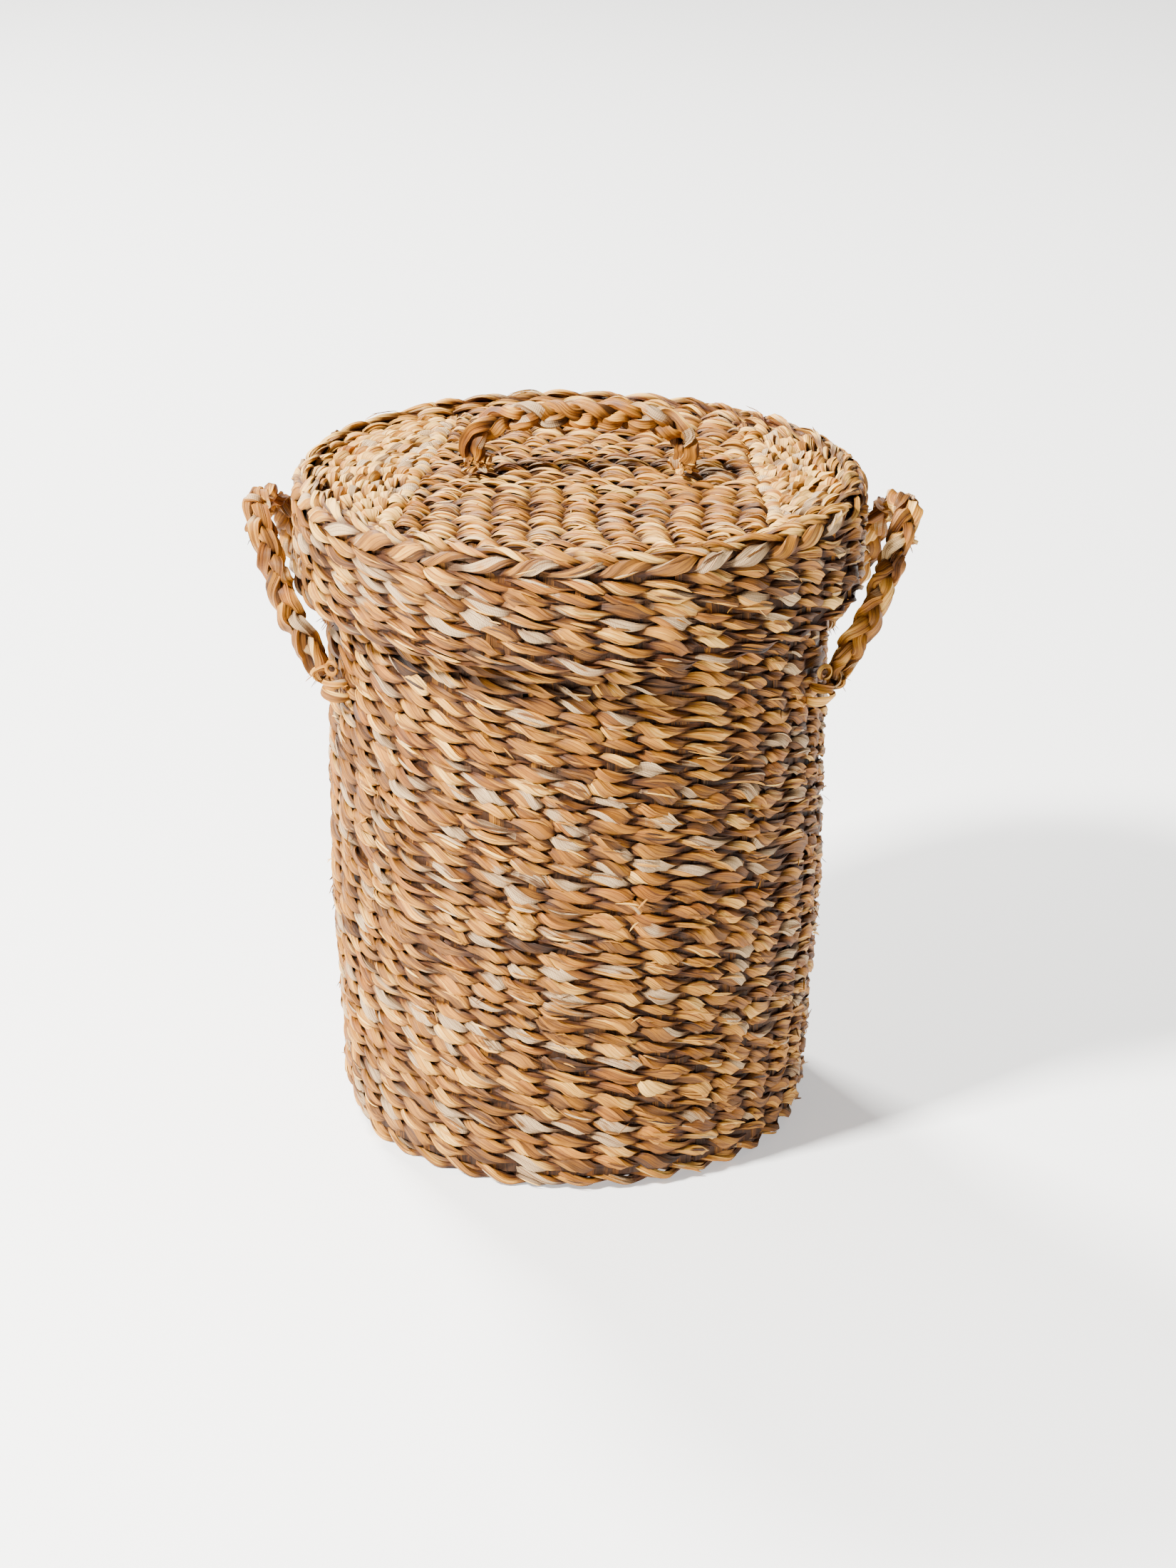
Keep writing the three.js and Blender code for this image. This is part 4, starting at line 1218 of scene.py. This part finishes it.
def make_lid_lashing(side_name, side):
    """Strands that hold a root of the lid handle down and fan out on the mat, with frayed ends."""
    axis = np.array([1.0, 0, 0])
    name = f"lid_{side_name}_lashing"
    centre, length = lashing_middle(name, "lid_handle_tilt", axis)
    bundle = Bundle()
    for shift in HOLDING_PLACES:
        lean = unit(axis + np.array([0, rng.uniform(-HOLDING_LEAN, HOLDING_LEAN), 0]))
        start = centre + axis * shift * length - UP * HOLDING_SUNK * MM
        nub(bundle, start, lean, rng.uniform(*HOLDING_RADIUS), *HOLDING, UP)
    middle, spread = TAIL_WAY
    for _ in range(TAILS):
        way = unit(np.array([rng.normal(middle * side, spread), -1.0, 0]))
        t = np.linspace(0, 1, 12)[:, None]
        along = way * t * rng.uniform(*TAIL_LENGTH) + UP * TAIL_RISE * t * (1 - t)
        path = centre - UP * TAIL_SUNK * MM + along * MM
        tone, pale = rng.uniform(*TAIL_TONE), rng.uniform(0, TAIL_PALE)
        sliver(bundle, path, np.cross(way, UP), TAIL_HALF_WIDTH, tone, pale, TAIL_HALF_THICK)
    bundle.piece(f"{name}_turns", LEAF["lashing"], "lid", "lashing", [name])
    tuft = Bundle()
    for _ in range(TUFT_HAIRS[side_name]):
        place = centre + scattered(*TUFT_PLACE) * MM
        hair(tuft, place, unit(scattered(*TUFT_WAY)), TUFT_HAIR)
    tuft.piece(f"lid_{side_name}_tuft", LEAF["fray"], "lid", "lashing", [])


for name, side in (("left", -1), ("right", 1)):
    make_side_lashing(name, side, "front", -1)
    make_side_lashing(name, side, "rear", 1)
    make_lid_lashing(name, side)


# Frayed fibres that stand out of the weave
WALL_FRAYS, SKIRT_FRAYS, TOP_FRAYS = 110, 50, 90
FRAY_MARGIN, FRAY_SUNK, TOP_FRAY_SUNK = 15 * MM, 1.5 * MM, 3 * MM
FRAY_OUT, FRAY_RISE = (0.05, 0.5), (-0.1, 0.5)
TOP_FRAY_RADIUS = 190 * MM
TOP_FRAY_WAY = ((0, 1), (0, 1), (0.1, 0.7))


def make_frays():
    body, lid = Bundle(), Bundle()
    places = (
        (body, WALL_FRAYS, wall_radius, wall_bottom, wall_top),
        (lid, SKIRT_FRAYS, lambda z: lid_radius, skirt_low[2], skirt_high[2]),
    )
    for bundle, count, radius, low, high in places:
        for _ in range(count):
            out = around(np.array([rng.uniform(0, TURN)]))[0]
            z = rng.uniform(low + FRAY_MARGIN, high - FRAY_MARGIN)
            beside = np.cross(UP, out) * rng.choice([-1, 1])
            way = beside + out * rng.uniform(*FRAY_OUT) + UP * rng.normal(*FRAY_RISE)
            hair(bundle, out * (radius(z) - FRAY_SUNK) + UP * z, way, WALL_HAIR)
    for _ in range(TOP_FRAYS):
        out = around(np.array(rng.uniform(0, TURN)))
        start = out * TOP_FRAY_RADIUS * math.sqrt(rng.uniform()) + UP * (lid_plate_high[2] - TOP_FRAY_SUNK)
        hair(lid, start, unit(scattered(*TOP_FRAY_WAY)), TOP_HAIR)
    body.piece("wall_frays", LEAF["weave"], "basket", "weave", [])
    lid.piece("lid_frays", LEAF["weave"], "lid", "weave", [])


make_frays()


# Stage: camera, floor and light
FLOOR_HALF = 24.0
WHITE = (1, 1, 1, 1)
FLOOR_LOOK = {
    "Base Color": (0.92, 0.92, 0.91, 1), "Roughness": 0.9, "Emission Color": WHITE,
    "Emission Strength": 0.6,
}
AIR_LOOK = {"Color": WHITE, "Strength": 0.22}
LIGHT_TARGET = (0, 0, 0.3)
# Lights: their place, size, energy and colour
LIGHTS = {
    "key": ((-2.6, -1.95, 3.4), 0.6, 1000, (1, 0.98, 0.94)),
    "back": ((-2.2, 3.6, 4.2), 1.2, 900, (1, 0.99, 0.96)),
}


def make_camera():
    data = bpy.data.cameras.new("camera")
    data.sensor_width = SENSOR
    data.lens = SENSOR * FOCAL_PIXELS / IMAGE_HEIGHT
    data.shift_x = CENTRE_OFFSET_PIXELS / IMAGE_HEIGHT
    camera = added("camera", data)
    camera.location = CAMERA_PLACE
    camera.rotation_mode = "QUATERNION"
    tilt = Quaternion((1, 0, 0), math.pi / 2 - CAMERA_TILT)
    camera.rotation_quaternion = tilt @ Quaternion((0, 0, 1), CAMERA_ROLL)
    bpy.context.scene.camera = camera


def make_floor():
    half = FLOOR_HALF
    corners = [(-half, -half, 0), (half, -half, 0), (half, half, 0), (-half, half, 0)]
    mesh = bpy.data.meshes.new("floor")
    mesh.from_pydata(corners, [], [(0, 1, 2, 3)])
    floor = added("floor", mesh)
    material, shader = new_material("floor")
    for key, value in FLOOR_LOOK.items():
        shader.inputs[key].default_value = value
    mesh.materials.append(material)


def area_light(name, place, size, energy, colour):
    data = bpy.data.lights.new(name, "AREA")
    data.size = size
    data.energy = energy
    data.color = colour
    light = added(name, data)
    light.location = place
    light.rotation_mode = "QUATERNION"
    light.rotation_quaternion = (Vector(LIGHT_TARGET) - Vector(place)).to_track_quat("-Z", "Y")


def make_light():
    for name, values in LIGHTS.items():
        area_light(name, *values)
    world = bpy.data.worlds.new("studio")
    world.use_nodes = True
    for key, value in AIR_LOOK.items():
        world.node_tree.nodes["Background"].inputs[key].default_value = value
    bpy.context.scene.world = world


make_camera()
make_floor()
make_light()
